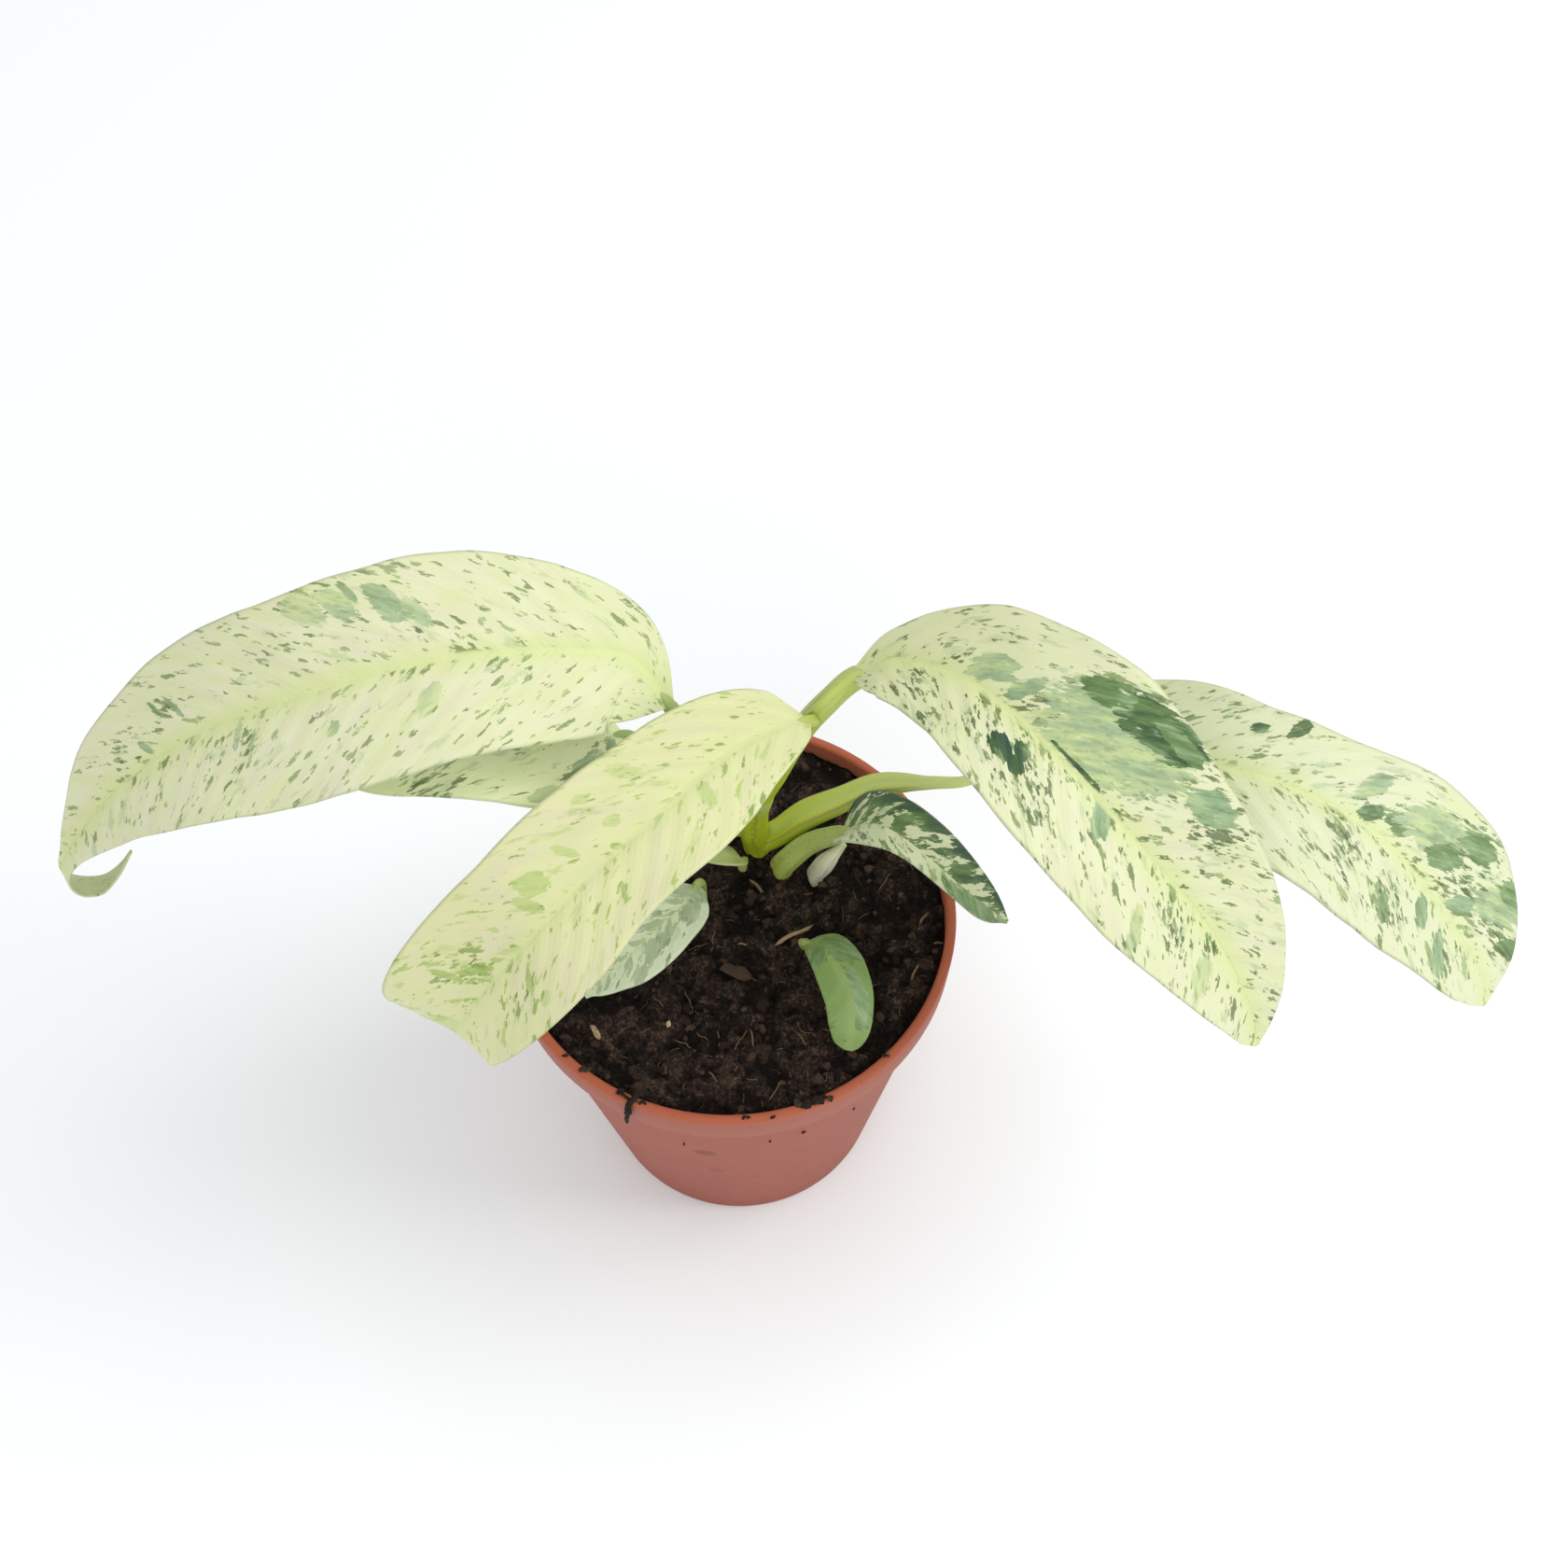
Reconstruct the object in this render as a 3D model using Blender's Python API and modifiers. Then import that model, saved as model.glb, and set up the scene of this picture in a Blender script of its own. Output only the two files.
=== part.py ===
"""A young climbing plant with five large speckled leaves in a round plastic nursery pot.

The pot stands on z = 0 with its axis on the origin, +Z up. The front of the plant faces -Y.
Sizes in this file are millimetres, and MM turns them into Blender's metres.
"""

import math

import bmesh
import bpy
from mathutils import Matrix, Vector, noise

MM = 0.001
GAP = 0.3

# Pot: a 12 cm nursery pot with a taller lip band and a stepped edge under it
RIM_RADIUS = 57.5
POT_HEIGHT = 108.0
LIP_HEIGHT = 11.0
LIP_STEP = 3.4
BASE_RADIUS = 38.5
RIM_WIDTH = 2.6
WALL = 1.4
FLOOR = 3.0
FOOT_HEIGHT = 1.4
FOOT_WIDTH = 4.0
HUB_RADIUS = 13.0
DRAIN_RADIUS = 3.5
DRAIN_RING_RADIUS = 27.0
DRAIN_COUNT = 6
TURN_STEPS = 48

# Soil: peat a little below the rim, with lumps
SOIL_LEVEL = 103.6
SOIL_RINGS = 9
LUMP_HEIGHT = 1.5
LUMP_SIZE = 11.0
LUMP_OCTAVES = 2
EDGE_CALM = 0.6

# Stem: short and thick, with the stalks around it
STEM_FOOT = 74.0
STEM_AXIS = ((7.5, 22, STEM_FOOT), (7.5, 22, 104), (6.8, 21, 114), (7.2, 20, 124), (9.4, 19, 134))
STEM_RADIUS = 3.8
STEM_TOP_RADIUS = 3.0
HOLE_SIDES = 16
STALK_DEPTH = 14.0

# Leaf blades: half widths are given at these shares of the midrib's length
BLADE_THICKNESS = 0.8
RIB_STEPS = 120
ROW_EASE = 0.45
ARCH_AT = 20.0
LEFT_WAVE_SHIFT = 2.2
OUTLINE_AT = (0.0, 0.04, 0.12, 0.25, 0.4, 0.55, 0.7, 0.82, 0.91, 0.97, 1.0)

# Each leaf: midrib points from the foot to the tip, half widths left and right of it, seen from the foot,
# the blade's roll in degrees at even steps along it, the fold of its halves in degrees, how far it
# arches down ARCH_AT from the midrib, and the waves of its margin (count, height, phase)
LEAVES = {
    "leaf_upper_left": {
        "midrib": (
            (-11, 18, 178), (-20, 23, 190), (-35, 20, 198), (-55, 16, 203), (-75, 12, 203), (-96, 9, 197),
            (-118, 8, 186), (-138.5, 5, 170), (-150.5, 2.5, 156), (-158, 1, 145), (-161.5, 1, 135.5),
            (-160, 2, 128), (-155, 3, 126), (-149.5, 4, 131), (-144.5, 5, 138.5),
        ),
        "left": (1.4, 15, 19.5, 22.5, 24, 21, 12, 4, 3.6, 2, 0.5),
        "right": (1.4, 7, 17.5, 23.5, 22.5, 21, 13, 2.4, 3.2, 1.6, 0.5),
        "roll": (0, 0, 0),
        "fold": (6, 6),
        "arch": 1.6,
        "waves": (3.0, 0.9, 0.4),
        "rows": 30,
        "columns": 8,
        "colour": (0.66, 0.74, 0.45),
    },
    "leaf_under_left": {
        "midrib": (
            (-23, 21, 160), (-33, 16, 168), (-45, 14, 172), (-58, 14, 173), (-71, 15, 170), (-86, 17, 164),
            (-98, 19, 155),
        ),
        "left": (1.3, 12, 19, 23, 21, 18, 16, 12, 8, 4, 0.6),
        "right": (1.3, 8, 13, 15.5, 16.5, 16, 14, 10.5, 7, 3.5, 0.6),
        "roll": (0, 0, 0),
        "fold": (6, 6),
        "arch": 1.2,
        "waves": (2.0, 0.8, 1.2),
        "rows": 18,
        "columns": 8,
        "colour": (0.5, 0.6, 0.36),
    },
    "leaf_front": {
        "midrib": (
            (20.5, 11, 180.5), (16.5, 8, 184.5), (3, -2, 188.5), (-12, -19, 192), (-28, -33, 188),
            (-41, -44, 181), (-53, -50, 167), (-60, -52, 154), (-60, -48, 144), (-54, -41, 139),
            (-48, -36, 141),
        ),
        "left": (1.3, 6.5, 12, 16, 16, 18, 15.5, 10.5, 7, 4.5, 0.6),
        "right": (1.3, 10, 15, 19, 20.5, 20.5, 20.5, 18.5, 12, 6, 0.6),
        "roll": (0, 0, 0, 2, 22, 27),
        "fold": (4, 4, 10, 20),
        "arch": 0.8,
        "waves": (2.5, 0.8, 0.0),
        "rows": 26,
        "columns": 8,
        "colour": (0.72, 0.76, 0.48),
    },
    "leaf_right": {
        "midrib": (
            (31, 20, 185), (40, 19, 192), (56, 9, 198), (68, -3, 198), (82, -17, 192), (95, -28, 181),
            (109, -37, 165), (119, -47, 148), (123, -52, 134),
        ),
        "left": (1.3, 4.5, 12.5, 21, 26, 24, 20, 15, 8.5, 4, 0.6),
        "right": (1.3, 8, 12, 16.5, 19.5, 20, 18.5, 14.5, 9, 4.5, 0.6),
        "roll": (0, 0, 0),
        "fold": (14, 14),
        "arch": 1.2,
        "waves": (2.5, 0.8, 2.0),
        "rows": 24,
        "columns": 8,
        "colour": (0.62, 0.72, 0.43),
    },
    "leaf_far_right": {
        "midrib": (
            (75, 17, 154), (94, 13, 163), (120, 3, 167), (140, -5, 164), (156, -14, 157), (171, -28, 143),
            (178, -35, 134), (180, -40, 127),
        ),
        "left": (1.3, 10, 16, 20, 18.5, 19.5, 25, 27, 20, 8, 0.6),
        "right": (1.3, 10, 16, 20, 22, 23.5, 23.5, 18, 13, 7.5, 0.6),
        "roll": (0, 0, 0),
        "fold": (6, 6),
        "arch": 1.2,
        "waves": (2.5, 0.8, 1.0),
        "rows": 24,
        "columns": 8,
        "colour": (0.58, 0.68, 0.42),
    },
    "leaf_folded": {
        "midrib": (
            (29, 12, 127), (35, 9, 136), (40, 5, 140), (46, 0, 140), (53, -5, 136), (61, -9, 129),
            (69, -11, 120),
        ),
        "left": (0.9, 5, 7.5, 8, 8, 7.5, 6.3, 4.8, 3, 1.4, 0.5),
        "right": (0.9, 5, 8, 8, 5, 4, 4, 4, 2.8, 1.2, 0.5),
        "roll": (0, 0, 0),
        "fold": (25, 25),
        "arch": 0.5,
        "waves": (1.5, 0.4, 0.5),
        "rows": 14,
        "columns": 6,
        "colour": (0.25, 0.4, 0.2),
    },
    "leaf_low_left": {
        "midrib": ((-8, 4, 115), (-12, -6, 122), (-20, -16, 125), (-28, -23, 123), (-35, -27, 117)),
        "left": (0.9, 3, 4.5, 7.5, 9, 10, 9, 5.5, 3, 1, 0.5),
        "right": (0.9, 4.5, 6.5, 7.5, 8, 8, 7, 5.5, 3.5, 2, 0.5),
        "roll": (0, 0, 0),
        "fold": (8, 8),
        "arch": 0.6,
        "waves": (1.5, 0.4, 0.0),
        "rows": 12,
        "columns": 6,
        "colour": (0.4, 0.55, 0.36),
    },
    "leaf_on_soil": {
        "midrib": (
            (20, -10, 110), (24, -14, 115), (27, -21, 117), (30, -29, 116), (30, -35, 113), (29, -39, 108),
        ),
        "left": (0.9, 2.5, 4, 5.5, 6.5, 6, 5, 4.5, 3.5, 2.2, 0.8),
        "right": (0.9, 2.8, 4.5, 5.5, 6, 6.5, 6.5, 6, 5, 3.5, 0.8),
        "roll": (0, 0, 0),
        "fold": (-6, -6),
        "arch": 4.0,
        "waves": (1.0, 0.2, 0.0),
        "rows": 12,
        "columns": 6,
        "colour": (0.25, 0.42, 0.16),
    },
    "leaf_sprout": {
        "midrib": ((3, 15, 109.5), (0, 12.5, 114), (-6, 10, 118)),
        "left": (1.2, 2.6, 3.4, 3.8, 3.8, 3.4, 2.8, 2.1, 1.4, 0.8, 0.5),
        "right": (1.2, 2.6, 3.4, 3.8, 3.8, 3.4, 2.8, 2.1, 1.4, 0.8, 0.5),
        "roll": (0, 0, 0),
        "fold": (15, 15),
        "arch": 0.0,
        "waves": (1.0, 0.0, 0.0),
        "rows": 8,
        "columns": 4,
        "colour": (0.6, 0.7, 0.4),
    },
}

# Each stalk: what it grows from, at what height and on which side, how far it runs straight out, the
# points that it passes, its radii from end to end, and the leaf that it carries. A stalk from the soil
# stands upright in its hole first.
STALKS = {
    "stalk_right": {
        "from": "stem_top",
        "via": ((12.8, 18, 146), (16.2, 16.8, 158), (20, 16, 170), (25, 16.5, 179)),
        "radii": (2.9, 3.0, 2.8, 2.8, 2.3, 1.4),
        "leaf": "leaf_right",
    },
    "stalk_far_right": {
        "from": "stem",
        "height": 110,
        "side": 5,
        "via": (
            (20.5, 22, 118), (29, 21, 126.5), (37, 20.5, 134), (44.5, 17.5, 140.5), (51, 13.5, 147),
            (59, 11.5, 151),
        ),
        "radii": (3.3, 3.4, 3.3, 2.8, 2.5, 1.7, 1.3, 1.2, 1.2),
        "leaf": "leaf_far_right",
    },
    "stalk_upper_left": {
        "from": "stem",
        "height": 126,
        "side": 160,
        "via": ((0, 21, 140), (-4, 19, 158)),
        "radii": (2.3, 2.3, 2.1, 1.4),
        "leaf": "leaf_upper_left",
    },
    "stalk_under_left": {
        "from": "stem",
        "height": 118,
        "side": 190,
        "via": ((-1, 17, 128), (-9, 19, 143)),
        "radii": (2.0, 2.0, 1.8, 1.3),
        "leaf": "leaf_under_left",
    },
    "stalk_front": {
        "from": "stalk_right",
        "height": 168,
        "side": 285,
        "run": 2.2,
        "via": ((22.4, 11.3, 174),),
        "radii": (1.5, 1.5, 1.3),
        "leaf": "leaf_front",
    },
    "stalk_folded": {
        "from": "soil",
        "foot": (14, 14),
        "via": ((16, 14, 109), (21, 15, 115)),
        "radii": (2.6, 2.6, 2.4, 2.2, 1.2),
        "leaf": "leaf_folded",
    },
    "stalk_low_left": {
        "from": "soil",
        "foot": (-7, 6),
        "via": (),
        "radii": (1.4, 1.4, 1.1),
        "leaf": "leaf_low_left",
    },
    "stalk_on_soil": {
        "from": "soil",
        "foot": (19, -8),
        "via": (),
        "radii": (1.3, 1.3, 1.0),
        "leaf": "leaf_on_soil",
    },
    "stalk_sprout": {
        "from": "soil",
        "foot": (3.5, 15.5),
        "via": (),
        "radii": (1.2, 1.2, 1.0),
        "leaf": "leaf_sprout",
    },
    "sheath_pale": {
        "from": "soil",
        "foot": (22.5, 12),
        "via": ((24.2, 11.2, 110), (26.5, 11.4, 115.5), (29.4, 12.6, 119.5)),
        "radii": (2.0, 2.0, 2.0, 2.2, 1.0),
    },
}
STALK_STEP = 2.5
FIRST_RUN = 3.5
LAST_RUN = 3.0
STALK_SIDES = 2

# Colours of the pieces that aren't blades
TERRACOTTA = (0.52, 0.16, 0.1)
PEAT = (0.02, 0.014, 0.01)
LIME = (0.42, 0.5, 0.08)
PALE = (0.6, 0.66, 0.32)


def material(name, colour, roughness):
    """A plain finish in one colour."""
    finish = bpy.data.materials.new(name)
    finish.use_nodes = True
    shader = finish.node_tree.nodes["Principled BSDF"]
    shader.inputs["Base Color"].default_value = (*colour, 1)
    shader.inputs["Roughness"].default_value = roughness
    return finish


def collection(name):
    group = bpy.data.collections.new(name)
    bpy.context.scene.collection.children.link(group)
    return group


def place(name, mesh, group, finish):
    """Puts a mesh in the scene under its name."""
    piece = bpy.data.objects.new(name, mesh)
    group.objects.link(piece)
    if finish:
        mesh.materials.append(finish)
    return piece


def realised(piece):
    """The piece with its modifiers applied to its mesh."""
    graph = bpy.context.evaluated_depsgraph_get()
    mesh = bpy.data.meshes.new_from_object(piece.evaluated_get(graph))
    piece.modifiers.clear()
    piece.data = mesh
    return piece


def turned(name, profile, group, finish):
    """Turns a profile of (radius, height) points, in millimetres, about the Z axis."""
    mesh = bpy.data.meshes.new(name)
    edges = [(i, i + 1) for i in range(len(profile) - 1)]
    mesh.from_pydata([(radius * MM, 0, height * MM) for radius, height in profile], edges, [])
    piece = place(name, mesh, group, finish)
    screw = piece.modifiers.new("turn", "SCREW")
    screw.steps = TURN_STEPS
    screw.render_steps = TURN_STEPS
    screw.use_merge_vertices = True
    screw.merge_threshold = 0.00001
    screw.use_smooth_shade = True
    return piece


def cylinder(name, centre, radius, low, high, sides, group):
    """An upright cylinder that cuts a hole."""
    shape = bmesh.new()
    lift = Matrix.Translation(Vector((centre[0], centre[1], (low + high) / 2)) * MM)
    size = {"radius1": radius * MM, "radius2": radius * MM, "depth": (high - low) * MM}
    bmesh.ops.create_cone(shape, cap_ends=True, segments=sides, matrix=lift, **size)
    mesh = bpy.data.meshes.new(name)
    shape.to_mesh(mesh)
    shape.free()
    cutter = place(name, mesh, group, None)
    cutter.hide_render = True
    cutter.display_type = "WIRE"
    return cutter


def cut(piece, cutter):
    hole = piece.modifiers.new(cutter.name, "BOOLEAN")
    hole.operation = "DIFFERENCE"
    hole.solver = "EXACT"
    hole.object = cutter


def through(at, values, share):
    """A smooth curve through the values, which stand at the shares in at."""
    last = len(at) - 1
    index = max(i for i in range(last) if at[i] <= max(share, at[0]))

    def slope(i):
        before, after = max(i - 1, 0), min(i + 1, last)
        return (values[after] - values[before]) / (at[after] - at[before])

    span = at[index + 1] - at[index]
    t = (share - at[index]) / span
    return (
        (2 * t**3 - 3 * t**2 + 1) * values[index]
        + (t**3 - 2 * t**2 + t) * span * slope(index)
        + (3 * t**2 - 2 * t**3) * values[index + 1]
        + (t**3 - t**2) * span * slope(index + 1)
    )


def evenly(values, share):
    """A smooth curve through values that stand at even steps from 0 to 1."""
    return through([i / (len(values) - 1) for i in range(len(values))], values, share)


def shares_along(points):
    """The share of the whole chord length at which each point stands."""
    lengths = [0.0]
    for before, after in zip(points, points[1:]):
        lengths.append(lengths[-1] + (after - before).length)
    return [length / lengths[-1] for length in lengths]


class Rib:
    """A smooth line through a leaf's midrib points, with the sideways direction carried along it."""

    def __init__(self, points):
        points = [Vector(point) for point in points]
        at = shares_along(points)
        self.places = [through(at, points, i / RIB_STEPS) for i in range(RIB_STEPS + 1)]
        self.shares = shares_along(self.places)
        self.length = sum((b - a).length for a, b in zip(self.places, self.places[1:]))
        self.alongs = []
        self.acrosses = []
        for i in range(RIB_STEPS + 1):
            before, after = max(i - 1, 0), min(i + 1, RIB_STEPS)
            along = (self.places[after] - self.places[before]).normalized()
            sideways = self.acrosses[-1] if self.acrosses else along.cross(Vector((0, 0, 1)))
            self.alongs.append(along)
            self.acrosses.append((sideways - along * sideways.dot(along)).normalized())

    def at(self, share):
        """Place, direction along and direction across at a share of the length."""
        index = max(i for i in range(RIB_STEPS) if self.shares[i] <= max(share, 0))
        t = (share - self.shares[index]) / (self.shares[index + 1] - self.shares[index])
        here = self.places[index].lerp(self.places[index + 1], t)
        along = self.alongs[index].lerp(self.alongs[index + 1], t).normalized()
        across = self.acrosses[index].lerp(self.acrosses[index + 1], t)
        return here, along, (across - along * across.dot(along)).normalized()


def blade_point(leaf, rib, share, side):
    """A point of the blade's middle surface. side runs from -1, the left margin, to 1, the right."""
    here, along, across = rib.at(share)
    roll = math.radians(evenly(leaf["roll"], share))
    up = across.cross(along)
    across, up = across * math.cos(roll) + up * math.sin(roll), up * math.cos(roll) - across * math.sin(roll)
    half_width = through(OUTLINE_AT, leaf["left"] if side < 0 else leaf["right"], share)
    out = side * half_width
    rise = math.tan(math.radians(evenly(leaf["fold"], share))) * abs(out)
    rise -= leaf["arch"] * (out / ARCH_AT) ** 2
    count, height, phase = leaf["waves"]
    if side < 0:
        phase += LEFT_WAVE_SHIFT
    rise += height * side**2 * math.sin(2 * math.pi * count * share + phase) * math.sin(math.pi * share)
    return here + across * out + up * rise


def blade(name, leaf, group):
    """A thin leaf blade: a grid laid on its surface and thickened, with the same triangles on both faces.

    ROW_EASE moves the grid's rows towards both ends, where the outline turns fastest.
    """
    rib = Rib(leaf["midrib"])
    shape = bmesh.new()
    bmesh.ops.create_grid(shape, x_segments=leaf["columns"], y_segments=leaf["rows"], size=1)
    for vertex in shape.verts:
        even = (vertex.co.y + 1) / 2
        eased = (1 - math.cos(math.pi * even)) / 2
        vertex.co = blade_point(leaf, rib, even + ROW_EASE * (eased - even), vertex.co.x) * MM
    bmesh.ops.triangulate(shape, faces=shape.faces)
    mesh = bpy.data.meshes.new(name)
    shape.to_mesh(mesh)
    shape.free()
    piece = place(name, mesh, group, material(name, leaf["colour"], 0.45))
    mesh.shade_smooth()
    thick = piece.modifiers.new("thickness", "SOLIDIFY")
    thick.thickness = BLADE_THICKNESS * MM
    thick.offset = 0
    return piece


def tube(name, points, radii, group, finish):
    """A round stalk along a smooth line through the points, with its radii eased from end to end."""
    points = [Vector(point) for point in points]
    at = shares_along(points)
    count = max(4, round(sum((b - a).length for a, b in zip(points, points[1:])) / STALK_STEP))
    curve = bpy.data.curves.new(name, "CURVE")
    curve.dimensions = "3D"
    curve.bevel_depth = MM
    curve.bevel_resolution = STALK_SIDES
    curve.use_fill_caps = True
    line = curve.splines.new("POLY")
    line.points.add(count)
    for i, point in enumerate(line.points):
        point.co = (*(through(at, points, i / count) * MM), 1)
        point.radius = evenly(radii, i / count)
    curve.materials.append(finish)
    piece = bpy.data.objects.new(name, curve)
    group.objects.link(piece)
    return points


def height_on(points, height):
    """The place and direction of a line of points where it reaches a height."""
    for before, after in zip(points, points[1:]):
        if before.z <= height <= after.z:
            share = (height - before.z) / (after.z - before.z)
            return before.lerp(after, share), (after - before).normalized()
    raise ValueError(f"no point of the line is at {height}")


def pot_walls():
    """The pot's inner side from the floor up, and its outer side from the rim down."""
    body_top = RIM_RADIUS - LIP_STEP
    lip_foot = POT_HEIGHT - LIP_HEIGHT
    inner_rim = RIM_RADIUS - RIM_WIDTH
    inner = [
        (BASE_RADIUS - WALL - 1, FLOOR), (BASE_RADIUS - WALL, FLOOR + 1), (body_top - WALL, lip_foot - 1),
        (inner_rim, lip_foot + 2), (inner_rim, POT_HEIGHT - 0.8),
    ]
    outer = [
        (inner_rim + 0.7, POT_HEIGHT), (RIM_RADIUS - 0.8, POT_HEIGHT), (RIM_RADIUS, POT_HEIGHT - 0.8),
        (RIM_RADIUS - 0.6, lip_foot + 0.5), (RIM_RADIUS - 1.2, lip_foot), (body_top + 0.3, lip_foot - 0.4),
        (body_top, lip_foot - 1.6), (BASE_RADIUS, 0.8), (BASE_RADIUS - 0.8, 0),
    ]
    return inner, outer


def build_pot(parts, cutters):
    inner, outer = pot_walls()
    underside = [
        (BASE_RADIUS - FOOT_WIDTH, 0), (BASE_RADIUS - FOOT_WIDTH - 0.6, FOOT_HEIGHT),
        (HUB_RADIUS + 0.6, FOOT_HEIGHT), (HUB_RADIUS, 0), (0, 0),
    ]
    profile = [(0, FLOOR), *inner, *outer, *underside]
    pot = turned("pot", profile, parts, material("terracotta", TERRACOTTA, 0.55))
    for i in range(DRAIN_COUNT):
        turn = 2 * math.pi * i / DRAIN_COUNT
        centre = (DRAIN_RING_RADIUS * math.cos(turn), DRAIN_RING_RADIUS * math.sin(turn))
        drain = cylinder(f"drain_{i + 1}", centre, DRAIN_RADIUS, -1, FLOOR + 1, HOLE_SIDES, cutters)
        cut(pot, drain)


def build_soil(parts, cutters):
    """The peat, with its lumps, and a plain hole for the stem and for each stalk that stands in it."""
    inner, _ = pot_walls()
    sides = [(radius - GAP, height) for radius, height in inner[:-1]]
    edge = sides[-1][0]
    top = [(edge * i / SOIL_RINGS, SOIL_LEVEL) for i in range(SOIL_RINGS + 1)]
    bottom = [(sides[0][0], FLOOR + GAP), (0, FLOOR + GAP)]
    profile = [*top, *reversed(sides[1:]), *bottom]
    soil = realised(turned("soil", profile, parts, material("peat", PEAT, 0.95)))
    for vertex in soil.data.vertices:
        place_mm = vertex.co / MM
        if place_mm.z > SOIL_LEVEL - 0.01:
            calm = 1 - EDGE_CALM * (place_mm.xy.length / edge) ** 4
            lump = noise.fractal(place_mm / LUMP_SIZE, 0.8, 2.2, LUMP_OCTAVES)
            vertex.co.z += LUMP_HEIGHT * MM * calm * lump
    feet = [("stem_hole", STEM_AXIS[0][:2], STEM_RADIUS, STEM_FOOT)]
    for name, stalk in STALKS.items():
        if stalk["from"] == "soil":
            feet.append((f"{name}_hole", stalk["foot"], stalk["radii"][0], SOIL_LEVEL - STALK_DEPTH))
    for name, centre, radius, foot in feet:
        wide = (radius + GAP) / math.cos(math.pi / HOLE_SIDES)
        cut(soil, cylinder(name, centre, wide, foot - GAP, POT_HEIGHT, HOLE_SIDES, cutters))


def build_stalks(parts):
    """The stem and the stalks. Each ends a small gap before the foot of the blade that it carries."""
    lime = material("lime_stem", LIME, 0.4)
    pale = material("pale_sheath", PALE, 0.5)
    stem = tube("stem", STEM_AXIS, (STEM_RADIUS, STEM_RADIUS, STEM_RADIUS, STEM_TOP_RADIUS), parts, lime)
    lines = {"stem": (stem, STEM_RADIUS)}
    for name, stalk in STALKS.items():
        if stalk["from"] == "stem_top":
            onward = (stem[-1] - stem[-2]).normalized()
            points = [stem[-1] + onward * GAP, stem[-1] + onward * (GAP + FIRST_RUN)]
        elif stalk["from"] == "soil":
            heights = (SOIL_LEVEL - STALK_DEPTH, SOIL_LEVEL - 2, SOIL_LEVEL + 1)
            points = [Vector((*stalk["foot"], height)) for height in heights]
        else:
            carrier, radius = lines[stalk["from"]]
            here, along = height_on(carrier, stalk["height"])
            side = math.radians(stalk["side"])
            out = Vector((math.cos(side), math.sin(side), 0))
            out = (out - along * out.dot(along)).normalized()
            run = stalk.get("run", FIRST_RUN)
            points = [here + out * (radius + GAP), here + out * (radius + GAP + run)]
        points += [Vector(point) for point in stalk["via"]]
        if "leaf" in stalk:
            foot, along, _ = Rib(LEAVES[stalk["leaf"]]["midrib"]).at(0)
            points += [foot - along * LAST_RUN, foot - along * GAP]
        finish = pale if name.startswith("sheath") else lime
        line = tube(name, points, stalk["radii"], parts, finish)
        lines[name] = (line, max(stalk["radii"]))


def main():
    for leftover in list(bpy.data.objects):
        bpy.data.objects.remove(leftover)
    parts = collection("potted_climber")
    cutters = collection("cutters")
    build_pot(parts, cutters)
    build_soil(parts, cutters)
    build_stalks(parts)
    for name, leaf in LEAVES.items():
        blade(name, leaf, parts)


main()
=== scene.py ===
"""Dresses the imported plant: speckled leaves, lime stalks, peat and a plastic pot, on a pale floor.

Sizes are millimetres unless a name says cm, and MM turns them into Blender's metres. The pot's axis
is the Z axis, and the camera looks along +Y and down.
"""

import math
import random

import bpy
from mathutils import Matrix, Vector, noise


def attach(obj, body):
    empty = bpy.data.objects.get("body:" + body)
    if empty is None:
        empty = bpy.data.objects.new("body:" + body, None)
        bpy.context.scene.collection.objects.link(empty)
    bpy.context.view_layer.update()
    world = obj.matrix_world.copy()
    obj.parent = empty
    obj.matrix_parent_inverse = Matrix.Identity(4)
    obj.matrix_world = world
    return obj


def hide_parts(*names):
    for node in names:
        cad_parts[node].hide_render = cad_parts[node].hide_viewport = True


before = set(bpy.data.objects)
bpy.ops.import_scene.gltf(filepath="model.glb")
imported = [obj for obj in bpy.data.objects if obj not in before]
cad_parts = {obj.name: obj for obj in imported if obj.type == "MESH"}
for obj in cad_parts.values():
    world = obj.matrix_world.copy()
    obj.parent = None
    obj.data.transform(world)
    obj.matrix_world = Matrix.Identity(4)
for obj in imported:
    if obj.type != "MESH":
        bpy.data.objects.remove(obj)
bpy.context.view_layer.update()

MM = 0.001
CM = 10.0
GAP = 0.3
SEAM = 0.02

# Camera, fitted to the photograph
CAMERA_PLACE = (14.8, -265.9, 613.2)
CAMERA_DOWN = math.radians(59.0)
CAMERA_ROLL = math.radians(1.5)
CAMERA_LENS = 51.5
CAMERA_SENSOR = 36

# Pot, as in the CAD
RIM_RADIUS = 57.5
POT_HEIGHT = 108.0
LIP_HEIGHT = 11.0
LIP_STEP = 3.4
BASE_RADIUS = 38.5
RIM_WIDTH = 2.6
WALL = 1.4
FLOOR = 3.0
FOOT_HEIGHT = 1.4
FOOT_WIDTH = 4.0
HUB_RADIUS = 13.0
MIDDLE_RADIUS = 1.5
DRAIN_RADIUS = 3.5
DRAIN_RING_RADIUS = 27.0
DRAIN_COUNT = 6
DRAIN_SIDES = 32
DRILL_LENGTH = 10.0
POT_STEPS = 180

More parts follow.
